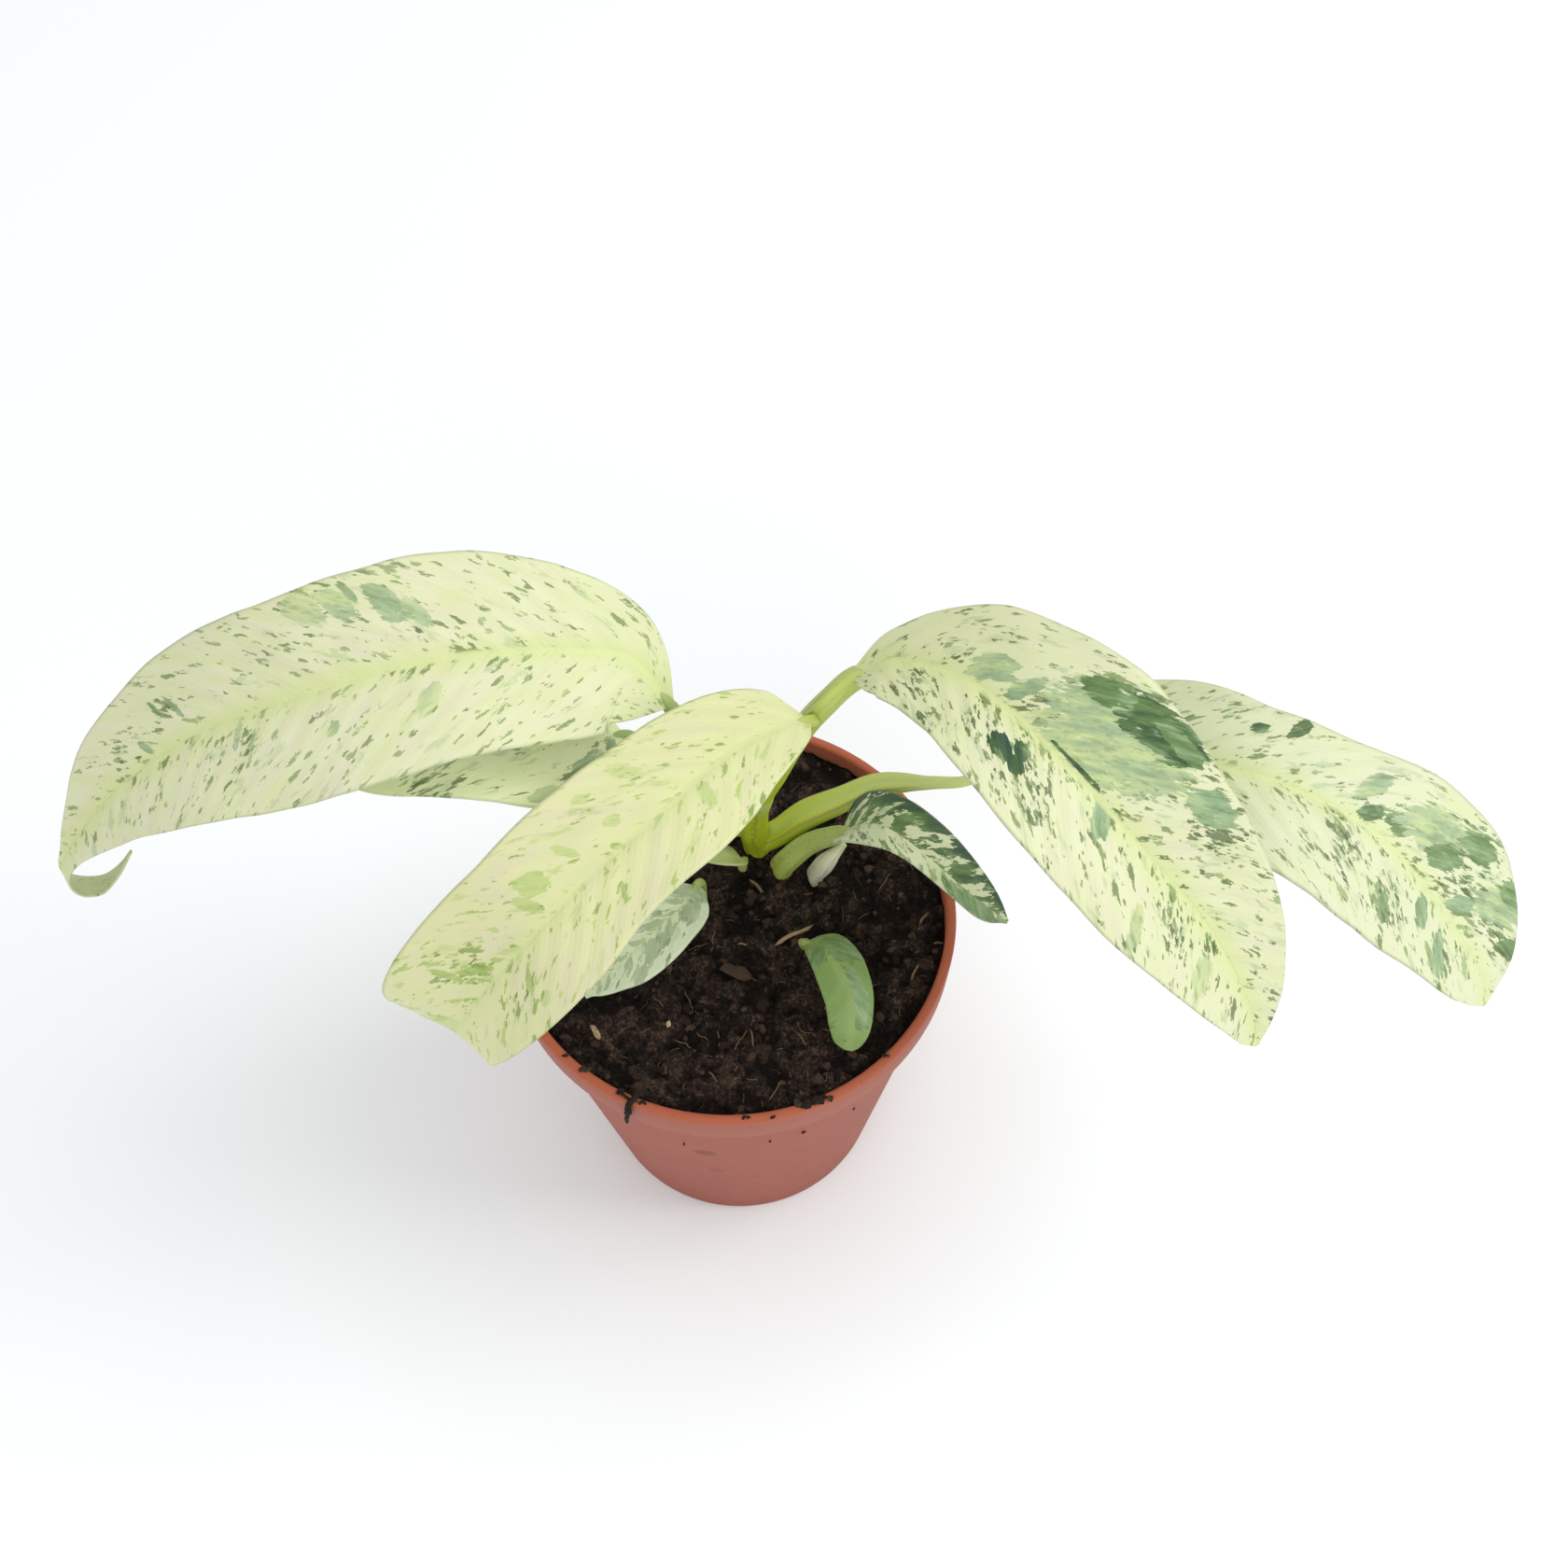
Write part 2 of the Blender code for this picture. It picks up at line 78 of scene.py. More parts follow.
# Peat
SOIL_LEVEL = 103.6
SOIL_RADIUS = RIM_RADIUS - RIM_WIDTH - GAP
LUMP_HEIGHT = 1.5
LUMP_SIZE = 11.0
CLOD_HEIGHT = 1.5
CLOD_SIZE = 4.8
NUGGET_HEIGHT = 1.5
NUGGET_SIZE = 3.6
GRAIN_HEIGHT = 0.35
GRAIN_SIZE = 1.1
EDGE_DROP = 0.8
EDGE_REACH = 4.0
SOIL_RINGS = 110
SOIL_TURNS = 380
CRUMB_KINDS = 4
CRUMBS_PER_KIND = 420
CHIP_COUNT = 70
FIBRE_KINDS = 4
FIBRES_PER_KIND = 64
STALK_DEPTH = 14.0

# Stem
STEM_FOOT = 74.0
STEM_AXIS = ((7.5, 22, STEM_FOOT), (7.5, 22, 104), (6.8, 21, 114), (7.2, 20, 124), (9.4, 19, 134))
STEM_RADII = (3.8, 3.8, 3.8, 3.0)

# Blades: half widths stand at these shares of the midrib's length
OUTLINE_AT = (0.0, 0.04, 0.12, 0.25, 0.4, 0.55, 0.7, 0.82, 0.91, 0.97, 1.0)
RIB_STEPS = 160
ROW_EASE = 0.45
ARCH_AT = 20.0
LEFT_WAVE_SHIFT = 2.2
BLADE_THICKNESS = 0.55
EDGE_WOBBLE = 0.018
SWELL_HEIGHT = 0.7
SWELL_LENGTH_CM = 1.6
SWELL_WIDTH = 11.0
CHANNEL_DEPTH = 0.3
CHANNEL_WIDTH = 1.8
QUILT_HEIGHT = 0.09

# Side veins: how far they run to the tip for each cm outwards, how they curve, and how far apart they are
VEIN_LEAN = 1.0
VEIN_CURVE = 0.12
VEIN_SPACING_CM = 0.74
PATCH_LEAN = 0.5

# Each leaf: midrib, half widths, roll where it has any, fold, arch and waves as in the CAD, how softly it
# folds at the midrib in mm, and its grid's rows and columns
LEAVES = {
    "leaf_upper_left": {
        "midrib": (
            (-11, 18, 178), (-20, 23, 190), (-35, 20, 198), (-55, 16, 203), (-75, 12, 203), (-96, 9, 197),
            (-118, 8, 186), (-138.5, 5, 170), (-150.5, 2.5, 156), (-158, 1, 145), (-161.5, 1, 135.5),
            (-160, 2, 128), (-155, 3, 126), (-149.5, 4, 131), (-144.5, 5, 138.5),
        ),
        "left": (1.4, 15, 19.5, 22.5, 24, 21, 12, 4, 3.6, 2, 0.5),
        "right": (1.4, 7, 17.5, 23.5, 22.5, 21, 13, 2.4, 3.2, 1.6, 0.5),
        "fold": (6, 6), "soft_fold": 3, "arch": 1.6, "waves": (3.0, 0.9, 0.4),
        "rows": 200, "columns": 44,
    },
    "leaf_under_left": {
        "midrib": (
            (-23, 21, 160), (-33, 16, 168), (-45, 14, 172), (-58, 14, 173), (-71, 15, 170),
            (-86, 17, 164), (-98, 19, 155),
        ),
        "left": (1.3, 12, 19, 23, 21, 18, 16, 12, 8, 4, 0.6),
        "right": (1.3, 8, 13, 15.5, 16.5, 16, 14, 10.5, 7, 3.5, 0.6),
        "fold": (6, 6), "soft_fold": 3, "arch": 1.2, "waves": (2.0, 0.8, 1.2),
        "rows": 90, "columns": 36,
    },
    "leaf_front": {
        "midrib": (
            (20.5, 11, 180.5), (16.5, 8, 184.5), (3, -2, 188.5), (-12, -19, 192), (-28, -33, 188),
            (-41, -44, 181), (-53, -50, 167), (-60, -52, 154), (-60, -48, 144), (-54, -41, 139),
            (-48, -36, 141),
        ),
        "left": (1.3, 6.5, 12, 16, 16, 18, 15.5, 10.5, 7, 4.5, 0.6),
        "right": (1.3, 10, 15, 19, 20.5, 20.5, 20.5, 18.5, 12, 6, 0.6),
        "roll": (0, 0, 0, 2, 22, 27),
        "fold": (4, 4, 10, 20), "soft_fold": 7, "arch": 0.8, "waves": (2.5, 0.8, 0.0),
        "rows": 150, "columns": 40,
    },
    "leaf_right": {
        "midrib": (
            (31, 20, 185), (40, 19, 192), (56, 9, 198), (68, -3, 198), (82, -17, 192), (95, -28, 181),
            (109, -37, 165), (119, -47, 148), (123, -52, 134),
        ),
        "left": (1.3, 4.5, 12.5, 21, 26, 24, 20, 15, 8.5, 4, 0.6),
        "right": (1.3, 8, 12, 16.5, 19.5, 20, 18.5, 14.5, 9, 4.5, 0.6),
        "fold": (14, 14), "soft_fold": 3, "arch": 1.2, "waves": (2.5, 0.8, 2.0),
        "rows": 150, "columns": 44,
    },
    "leaf_far_right": {
        "midrib": (
            (75, 17, 154), (94, 13, 163), (120, 3, 167), (140, -5, 164), (156, -14, 157),
            (171, -28, 143), (178, -35, 134), (180, -40, 127),
        ),
        "left": (1.3, 10, 16, 20, 18.5, 19.5, 25, 27, 20, 8, 0.6),
        "right": (1.3, 10, 16, 20, 22, 23.5, 23.5, 18, 13, 7.5, 0.6),
        "fold": (6, 6), "soft_fold": 4, "arch": 1.2, "waves": (2.5, 0.8, 1.0),
        "rows": 140, "columns": 44,
    },
    "leaf_folded": {
        "midrib": (
            (29, 12, 127), (35, 9, 136), (40, 5, 140), (46, 0, 140), (53, -5, 136), (61, -9, 129),
            (69, -11, 120),
        ),
        "left": (0.9, 5, 7.5, 8, 8, 7.5, 6.3, 4.8, 3, 1.4, 0.5),
        "right": (0.9, 5, 8, 8, 5, 4, 4, 4, 2.8, 1.2, 0.5),
        "fold": (25, 25), "soft_fold": 1.5, "arch": 0.5, "waves": (1.5, 0.4, 0.5),
        "rows": 80, "columns": 28,
    },
    "leaf_low_left": {
        "midrib": ((-8, 4, 115), (-12, -6, 122), (-20, -16, 125), (-28, -23, 123), (-35, -27, 117)),
        "left": (0.9, 3, 4.5, 7.5, 9, 10, 9, 5.5, 3, 1, 0.5),
        "right": (0.9, 4.5, 6.5, 7.5, 8, 8, 7, 5.5, 3.5, 2, 0.5),
        "fold": (8, 8), "soft_fold": 2, "arch": 0.6, "waves": (1.5, 0.4, 0.0),
        "rows": 64, "columns": 24,
    },
    "leaf_on_soil": {
        "midrib": (
            (20, -10, 110), (24, -14, 115), (27, -21, 117), (30, -29, 116), (30, -35, 113),
            (29, -39, 108),
        ),
        "left": (0.9, 2.5, 4, 5.5, 6.5, 6, 5, 4.5, 3.5, 2.2, 0.8),
        "right": (0.9, 2.8, 4.5, 5.5, 6, 6.5, 6.5, 6, 5, 3.5, 0.8),
        "fold": (-6, -6), "soft_fold": 2, "arch": 4.0, "waves": (1.0, 0.2, 0.0),
        "rows": 60, "columns": 24,
    },
    "leaf_sprout": {
        "midrib": ((3, 15, 109.5), (0, 12.5, 114), (-6, 10, 118)),
        "left": (1.2, 2.6, 3.4, 3.8, 3.8, 3.4, 2.8, 2.1, 1.4, 0.8, 0.5),
        "right": (1.2, 2.6, 3.4, 3.8, 3.8, 3.4, 2.8, 2.1, 1.4, 0.8, 0.5),
        "fold": (15, 15), "soft_fold": 1, "arch": 0.0, "waves": (1.0, 0.0, 0.0),
        "rows": 30, "columns": 16,
    },
}

# Leaf colours
CREAM = (0.65, 0.665, 0.44)
CREAM_PALE = (0.64, 0.66, 0.43)
CREAM_YELLOW = (0.665, 0.67, 0.37)
YELLOW_GREEN = (0.56, 0.63, 0.26)
PINKISH = (0.64, 0.585, 0.45)
PALE_GREEN = (0.40, 0.50, 0.24)
OLIVE_GREEN = (0.23, 0.32, 0.11)
GREY_GREEN = (0.27, 0.38, 0.22)
LEAF_GREEN = (0.125, 0.215, 0.07)
DARK_GREEN = (0.05, 0.105, 0.036)
BLUE_GREEN = (0.02, 0.06, 0.04)
FRESH_PALE = (0.43, 0.54, 0.17)
FRESH_DEEP = (0.30, 0.42, 0.10)
FOOT_GREEN = (0.55, 0.60, 0.28)
RIB_GREEN = (0.58, 0.65, 0.30)
MARGIN_GREEN = (0.38, 0.42, 0.25)
UNDERSIDE_GREEN = (0.37, 0.43, 0.24)
COOL_GREENS = (
    (0.0, (0.49, 0.58, 0.26)), (0.14, PALE_GREEN), (0.3, GREY_GREEN), (0.54, LEAF_GREEN),
    (0.78, DARK_GREEN), (1.0, BLUE_GREEN),
)
FRESH_GREENS = (
    (0.0, (0.50, 0.60, 0.24)), (0.25, FRESH_PALE), (0.5, FRESH_DEEP), (0.75, (0.18, 0.29, 0.05)),
    (1.0, (0.08, 0.14, 0.03)),
)
SPOT_GREENS = (
    (0.0, PALE_GREEN), (0.35, OLIVE_GREEN), (0.65, (0.13, 0.195, 0.055)), (1.0, (0.045, 0.085, 0.028)),
)

# Spots: the size in cm of the large, middling and small ones and how plainly they show, and the same for
# the soft ones
SPOT_KINDS = ((0.36, 0.8), (0.24, 0.85), (0.14, 0.8))
SOFT_SPOT_SIZE = 0.5
SOFT_SPOT_STRENGTH = 0.45

# How each leaf is marked: its colours and pinkish blush, its amounts of soft, large, middling and small
# spots and their lightest and darkest tone, how plainly its midrib shows, how much green covers its left
# and right halves, how far that keeps from the margin or, below 0, crowds to it, how dense the green is
# and whether it is a fresh or a cool one. A patch is cm along, cm out with left negative, half length
# along the side veins, half width across them, and how dark. A cluster of spots is cm along, cm out and
# reach. PLAIN_MARKS hold for a leaf that doesn't say
PLAIN_MARKS = {
    "blush": 0.0, "cover": (0, 0), "keep": 0, "veil": 0.85, "fresh": False, "patches": (), "clusters": (),
}
MARKS = {
    "leaf_upper_left": {
        "seed": 3.0, "cream": CREAM, "wash": YELLOW_GREEN, "blush": 0.4,
        "spots": (0.3, 0.08, 0.17, 0.09), "tones": (0.15, 0.68), "rib": 0.9,
        "patches": (
            (8.6, 1.75, 0.45, 0.4, 0.08), (7.9, 1.7, 0.45, 0.3, 0.16), (7.6, 1.85, 0.3, 0.1, 0.45),
            (6.9, 1.45, 0.5, 0.3, 0.3), (6.3, 1.1, 0.4, 0.2, 0.16), (6.4, -0.85, 0.4, 0.3, 0.0),
            (12.4, 0.75, 0.3, 0.08, 0.5), (12.9, 0.95, 0.26, 0.06, 0.5), (11.0, -0.4, 0.4, 0.1, 0.1),
            (10.7, -0.75, 0.4, 0.06, 0.1), (8.7, -0.95, 0.16, 0.16, 0.25), (13.6, 0.35, 0.2, 0.1, 0.5),
        ),
        "clusters": ((6.6, 0.9, 0.35), (12.6, 0.8, 0.35), (14.2, 0.4, 0.4), (10.8, -0.7, 0.3)),
    },
    "leaf_under_left": {
        # Painted light: its cream and wash are lighter than the other leaves' to make up for the shade of
        # the leaf over it
        "seed": 11.0, "cream": (0.78, 0.83, 0.51), "wash": (0.66, 0.76, 0.36), "blush": 0.1,
        "spots": (0.3, 0.06, 0.09, 0.05), "tones": (0.2, 0.8), "rib": 0.4,
        "patches": (
            (1.5, -1.2, 0.8, 0.4, 0.45), (0.9, -0.8, 0.8, 0.2, 0.6), (2.4, -1.9, 0.3, 0.3, 0.1),
        ),
        "clusters": ((4.4, -1.6, 0.6),),
    },
    "leaf_front": {
        "seed": 23.0, "cream": CREAM_YELLOW, "wash": (0.60, 0.66, 0.32), "blush": 0.45,
        "spots": (0.3, 0.07, 0.12, 0.08), "tones": (0.1, 0.72), "rib": 0.5,
        "veil": 0.8, "fresh": True,
        "patches": (
            (7.8, 0.87, 0.34, 0.34, 0.2), (8.2, 0.6, 0.36, 0.16, 0.2), (4.5, 1.28, 0.4, 0.26, 0.0),
            (5.6, 0.61, 0.16, 0.2, 0.12), (3.7, -0.44, 0.3, 0.2, 0.12), (5.8, 1.48, 0.16, 0.16, 0.1),
            (6.8, 0.82, 0.3, 0.12, 0.14), (5.9, 0.07, 0.16, 0.1, 0.35), (10.9, 0.9, 0.4, 0.1, 0.45),
            (10.3, 0.5, 0.3, 0.07, 0.35), (9.3, -0.66, 0.26, 0.12, 0.35), (6.5, -0.85, 0.26, 0.08, 0.3),
            # the last two patches, at 12.4 and 13.1 cm along, are painted shade where the tip curls under
            (9.2, -1.2, 0.14, 0.16, 0.12), (12.4, 0.3, 0.6, 0.5, 0.0), (13.1, 0.3, 0.5, 0.4, 0.35),
        ),
        "clusters": ((10.6, 0.7, 0.7), (9.6, -0.7, 0.5)),
    },
    "leaf_right": {
        "seed": 37.0, "cream": CREAM_PALE, "wash": (0.62, 0.67, 0.34), "blush": 0.3,
        "spots": (0.4, 0.07, 0.16, 0.17), "tones": (0.25, 0.95), "rib": 0.8,
        "veil": 1.0,
        "patches": (
            (6.5, -1.25, 1.25, 1.7, 0.16), (6.9, -2.0, 0.55, 1.05, 0.85), (5.6, -1.75, 0.4, 0.45, 0.6),
            (7.5, -2.1, 0.2, 0.7, 0.5), (9.0, -1.7, 0.42, 0.65, 0.3), (3.5, -0.55, 0.4, 0.44, 0.2),
            (4.3, -0.6, 0.45, 0.2, 0.3), (4.8, 0.74, 0.28, 0.34, 1.0), (5.2, 0.52, 0.2, 0.2, 0.9),
            (5.35, 0.86, 0.2, 0.24, 0.95), (7.5, 0.3, 0.4, 0.28, 0.3),
            # the last patch, a thin dark line just left of the midrib, is a painted shadow of the
            # midrib's crease
            (9.7, 1.35, 0.5, 0.2, 0.1), (12.1, 0.75, 0.4, 0.35, 0.0), (6.4, -0.14, 0.06, 0.8, 0.95),
        ),
        "clusters": (
            (2.1, 0.55, 0.5), (2.7, 1.1, 0.5), (3.7, 0.5, 0.4), (2.6, -0.49, 0.35), (5.0, 0.7, 0.8),
            (6.1, 0.9, 0.5), (9.6, -1.5, 0.6), (11.6, 0.25, 0.35), (10.6, 0.5, 0.6),
        ),
    },
    "leaf_far_right": {
        "seed": 51.0, "cream": (0.61, 0.645, 0.43), "wash": (0.56, 0.63, 0.33), "blush": 0.25,
        "spots": (0.5, 0.1, 0.14, 0.11), "tones": (0.2, 0.85), "rib": 0.7,
        "veil": 0.95,
        "patches": (
            (5.2, -1.21, 0.16, 0.2, 0.8), (6.1, -1.52, 0.36, 0.18, 0.85), (8.0, -1.0, 0.5, 0.24, 0.2),
            (8.2, -0.4, 0.3, 0.24, 0.6), (9.0, -0.7, 0.4, 0.36, 0.55), (9.7, -1.2, 0.7, 0.8, 0.16),
            (10.2, -0.95, 0.5, 0.36, 0.6), (10.8, -2.0, 0.45, 0.55, 0.55), (12.1, -1.4, 0.6, 0.6, 0.2),
            (13.0, -1.1, 0.4, 0.2, 0.75), (9.7, 1.4, 0.36, 0.2, 0.6), (11.3, -0.5, 0.4, 0.3, 0.45),
            (11.6, 0.9, 0.5, 0.24, 0.3), (12.4, -2.1, 0.4, 0.4, 0.5), (10.6, 0.55, 0.4, 0.24, 0.4),
        ),
        "clusters": (
            (8.2, 0.9, 0.8), (10.6, -1.2, 1.4), (12.6, -1.2, 0.8), (10.0, 1.3, 0.8), (11.8, 1.0, 0.6),
        ),
    },
    "leaf_folded": {
        "seed": 67.0, "cream": (0.60, 0.63, 0.42), "wash": (0.44, 0.53, 0.27), "blush": 0.1,
        "spots": (0.2, 0.1, 0.14, 0.12), "tones": (0.3, 0.95), "rib": 0.1,
        "cover": (0.56, 0.2), "keep": -0.45, "veil": 0.97,
        "patches": ((4.9, 0.35, 0.5, 0.9, 0.5), (5.9, 0.1, 0.5, 0.35, 0.1)),
    },
    "leaf_low_left": {
        "seed": 71.0, "cream": (0.66, 0.72, 0.54), "wash": (0.54, 0.64, 0.42),
        "spots": (0.2, 0.1, 0.05, 0.03), "tones": (0.2, 0.5), "rib": 0.2,
        "cover": (0.42, 0.42), "keep": 0.9, "veil": 0.52,
        "patches": (
            (0.3, -0.2, 0.5, 0.5, 0.45), (0.3, 0.2, 0.5, 0.5, 0.45), (1.2, -0.3, 0.3, 0.4, 0.35),
            (2.6, -0.35, 0.3, 0.4, 0.4), (3.3, -0.7, 0.2, 0.2, 0.4),
        ),
    },
    "leaf_on_soil": {
        "seed": 83.0, "cream": (0.205, 0.32, 0.095), "wash": (0.135, 0.235, 0.055),
        "spots": (0.0, 0.0, 0.1, 0.0), "tones": (0.5, 0.65), "rib": 0.1,
        "veil": 0.8,
        "patches": ((0.9, -0.1, 0.8, 0.5, 0.6), (0.8, 0.3, 0.5, 0.4, 0.5), (2.4, -0.2, 0.2, 0.8, 0.42)),
    },
    "leaf_sprout": {
        "seed": 97.0, "cream": (0.50, 0.58, 0.25), "wash": (0.42, 0.52, 0.17),
        "spots": (0.1, 0.0, 0.06, 0.0), "tones": (0.2, 0.5), "rib": 0.2,
        "veil": 0.8, "fresh": True,
    },
}

# Stalks, as in the CAD, how far the lips of each sheath stand out and the share at which it ends, and its
# finish. The folded leaf's lips stand out further than in the CAD, as they do in the photograph.
# PLAIN_STALK holds for a stalk that doesn't say
PLAIN_STALK = {"sheath": (0.0, 1.0), "finish": "shoot_stalk"}
STALKS = {
    "stalk_right": {
        "from": "stem_top",
        "via": ((12.8, 18, 146), (16.2, 16.8, 158), (20, 16, 170), (25, 16.5, 179)),
        "radii": (2.9, 3.0, 2.8, 2.9, 2.8, 2.5),
        "last_run": 0.8,
        "leaf": "leaf_right",
        "sheath": (0.35, 0.97),
        "finish": "bright_lime_stalk",
    },
    "stalk_far_right": {
        "from": "stem",
        "height": 110,
        "side": 5,
        "via": (
            (20.5, 22, 118), (29, 21, 126.5), (37, 20.5, 134), (44.5, 17.5, 140.5), (51, 13.5, 147),
            (59, 11.5, 151),
        ),
        "radii": (3.3, 3.4, 3.3, 2.8, 2.5, 1.7, 1.3, 1.2, 1.2),
        "leaf": "leaf_far_right",
        "sheath": (0.3, 0.62),
        "finish": "lime_stalk",
    },
    "stalk_upper_left": {
        "from": "stem",
        "height": 126,
        "side": 160,
        "via": ((0, 21, 140), (-4, 19, 158)),
        "radii": (2.3, 2.3, 2.1, 1.4),
        "leaf": "leaf_upper_left",
        "sheath": (0.2, 0.7),
        # painted shade: the darker finish for a stalk hidden under the left leaves
        "finish": "shade_painted_stalk",
    },
    "stalk_under_left": {
        "from": "stem",
        "height": 118,
        "side": 190,
        "via": ((-1, 17, 128), (-9, 19, 143)),
        "radii": (2.0, 2.0, 1.8, 1.3),
        "leaf": "leaf_under_left",
        "sheath": (0.2, 0.7),
        # painted shade: the darker finish for a stalk hidden under the left leaves
        "finish": "shade_painted_stalk",
    },
    "stalk_front": {
        "from": "stalk_right",
        "height": 174.5,
        "side": 245,
        "run": -1.4,
        "last_run": 1.5,
        "radii": (1.6, 1.5, 1.3),
        "leaf": "leaf_front",
        "sheath": (0.3, 0.9),
        "finish": "bright_lime_stalk",
    },
    "stalk_folded": {
        "from": "soil",
        "foot": (14, 14),
        "via": ((16, 14, 109), (21, 15, 115)),
        "radii": (2.6, 2.6, 2.4, 2.2, 1.2),
        "leaf": "leaf_folded",
        "sheath": (0.55, 0.97),
    },
    "stalk_low_left": {
        "from": "soil",
        "foot": (-7, 6),
        "radii": (1.4, 1.4, 1.1),
        "leaf": "leaf_low_left",
    },
    "stalk_on_soil": {
        "from": "soil",
        "foot": (19, -8),
        "radii": (1.3, 1.3, 1.0),
        "leaf": "leaf_on_soil",
    },
    "stalk_sprout": {
        "from": "soil",
        "foot": (3.5, 15.5),
        "radii": (1.2, 1.2, 1.0),
        "leaf": "leaf_sprout",
    },
    "sheath_pale": {
        "from": "soil",
        "foot": (22.5, 12),
        "via": ((24.2, 11.2, 110), (26.5, 11.4, 115.5), (29.4, 12.6, 119.5)),
        "radii": (2.0, 2.0, 2.0, 2.2, 1.0),
        "sheath": (0.4, 0.9),
        "finish": "papery_sheath",
    },
}
FIRST_RUN = 3.5
LAST_RUN = 3.0
STALK_SLANT = 5.0
TAPER = 7.0
KNEE = 0.08
STALK_SIDES = 32
STALK_STEP = 0.8
LIP_TURN = 0.95
STALK_RIBS = 16
STALK_RIB_HEIGHT = 0.01
STALK_GROOVE = 0.1
SHEATH_GROOVE = 0.28

# Stalk colours, then each finish: its colour at the foot and at the top, how dry the lips of its sheath
# are, how dark the painted shade in the slit between them is and how strong its blotches are
STREAK_GREEN = (0.24, 0.33, 0.05)
BLOTCH_GREEN = (0.20, 0.30, 0.09)
CHANNEL_GREEN = (0.52, 0.60, 0.20)
# painted shade in the slit between a sheath's lips
SLIT_SHADE = (0.14, 0.20, 0.03)
DRY_BROWN = (0.30, 0.22, 0.07)
TOP_GREEN = (0.50, 0.58, 0.23)
STALK_FINISHES = {
    "lime_stalk": ((0.46, 0.56, 0.03), (0.56, 0.63, 0.24), 0.6, 0.0, 0.45),
    "bright_lime_stalk": ((0.42, 0.52, 0.03), (0.45, 0.52, 0.12), 0.7, 0.75, 0.45),
    "lime_joint": ((0.38, 0.46, 0.008), (0.42, 0.50, 0.02), 0.0, 0.0, 0.45),
    "papery_sheath": ((0.58, 0.62, 0.38), (0.70, 0.71, 0.52), 0.2, 0.0, 0.45),
    "shoot_stalk": ((0.40, 0.48, 0.08), (0.41, 0.50, 0.15), 0.15, 0.45, 0.7),
    # a darker copy of the lime finish: painted shade for the stalks hidden under the left leaves
    "shade_painted_stalk": ((0.30, 0.39, 0.05), (0.27, 0.36, 0.10), 0.5, 0.0, 0.45),
}

# Peat colours: the bed's by how light its grain is, the bits' by their tint
PEAT_GRAIN = ((0.38, (0.006, 0.004, 0.0035)), (0.52, (0.047, 0.029, 0.021)), (0.65, (0.23, 0.145, 0.105)))
PEAT_BITS = (
    (0.0, (0.004, 0.003, 0.002)), (0.45, (0.022, 0.014, 0.010)), (0.7, (0.075, 0.046, 0.030)),
    (0.9, (0.26, 0.17, 0.09)), (1.0, (0.55, 0.42, 0.27)),
)
CLOD_BROWN = (0.055, 0.033, 0.026)
# painted shade in the bed's hollows
HOLLOW_SHADE = (0.003, 0.002, 0.0015)
# broad dark patches: painted shade for the gaps between clods
PATCHY_SHADE = (0.008, 0.005, 0.004)
FIBRE_TAN = (0.13, 0.085, 0.05)
CHIP_BROWN = (0.10, 0.06, 0.04)

# Tan fibres that the photograph shows: x, y, half length, turn, how thick and tint
SHOWN_FIBRES = (
    (16.2, -5.3, 6.2, 0.55, 1.9, 0.93), (7.4, 9.4, 3.7, -0.83, 2.4, 0.84),
    (46.5, -16.5, 3.0, 1.2, 2.0, 0.86), (49.6, -1.2, 2.4, 1.0, 3.0, 0.8),
    (53.0, -8.0, 1.5, 0.1, 3.4, 0.82), (3.2, -7.4, 1.3, 0.0, 4.0, 0.88),
    (24.0, -27.0, 1.8, -1.2, 3.6, 0.9), (5.2, -33.5, 2.6, -1.4, 1.8, 0.8),
    (17.5, -34.0, 2.2, -1.0, 2.2, 0.78), (21.5, 33.0, 1.6, -0.7, 3.0, 0.74),
    (-4.5, -43.5, 2.0, -0.9, 2.4, 0.76), (31.0, -36.0, 1.8, 0.4, 2.2, 0.8),
)

# Peat spilt on the rim and the wall: place and size. From CLUMP_SIZE up it is a clump of crumbs
SPILT_PEAT = (
    ((20.0, -52.6, 108.6), 2.4), ((17.0, -53.0, 108.3), 1.6), ((23.2, -51.4, 108.3), 1.3),
    ((-22.4, -48.8, 108.5), 2.3), ((-27.5, -48.2, 108.2), 1.2), ((-21.5, -51.4, 108.2), 1.1),
    ((-36.0, -42.6, 108.3), 1.3), ((-40.5, -38.4, 108.2), 0.9), ((3.5, -55.9, 108.2), 0.8),
    ((10.0, -56.1, 108.2), 0.7), ((38.0, -40.6, 108.2), 0.9), ((17.5, -48.8, 80.4), 0.5),
    ((8.9, -51.0, 80.4), 0.45), ((30.6, -40.7, 75.5), 0.45), ((-13.0, -50.2, 78.0), 0.35),
)
CLUMP_SIZE = 0.8
CLUMP_CRUMBS = 5

# Strands over the lip: place, half length, turn from straight outwards, tip, thickness and tint
STRAND_TURN = math.atan2(-51.5, -25.3)
HANGING_STRANDS = (
    ((-25.7, -52.2, 102.8), 5.2, 0.0, 1.5, (1, 2.4, 2.4), 0.35),
    ((-25.3, -52.2, 105.6), 3.0, 0.0, 1.45, (1, 6.0, 5.0), 0.3),
    ((-24.0, -50.6, 108.5), 2.8, 0.0, 0.15, (1, 6.0, 4.0), 0.35),
    ((-26.2, -49.6, 108.3), 2.2, 1.6, 0.1, (1, 4.0, 3.0), 0.3),
)

# Pot colours, and its scuffs: place in mm, half length in mm, how dark
WALL_DARK = (0.285, 0.056, 0.029)
WALL_RED = (0.315, 0.068, 0.035)
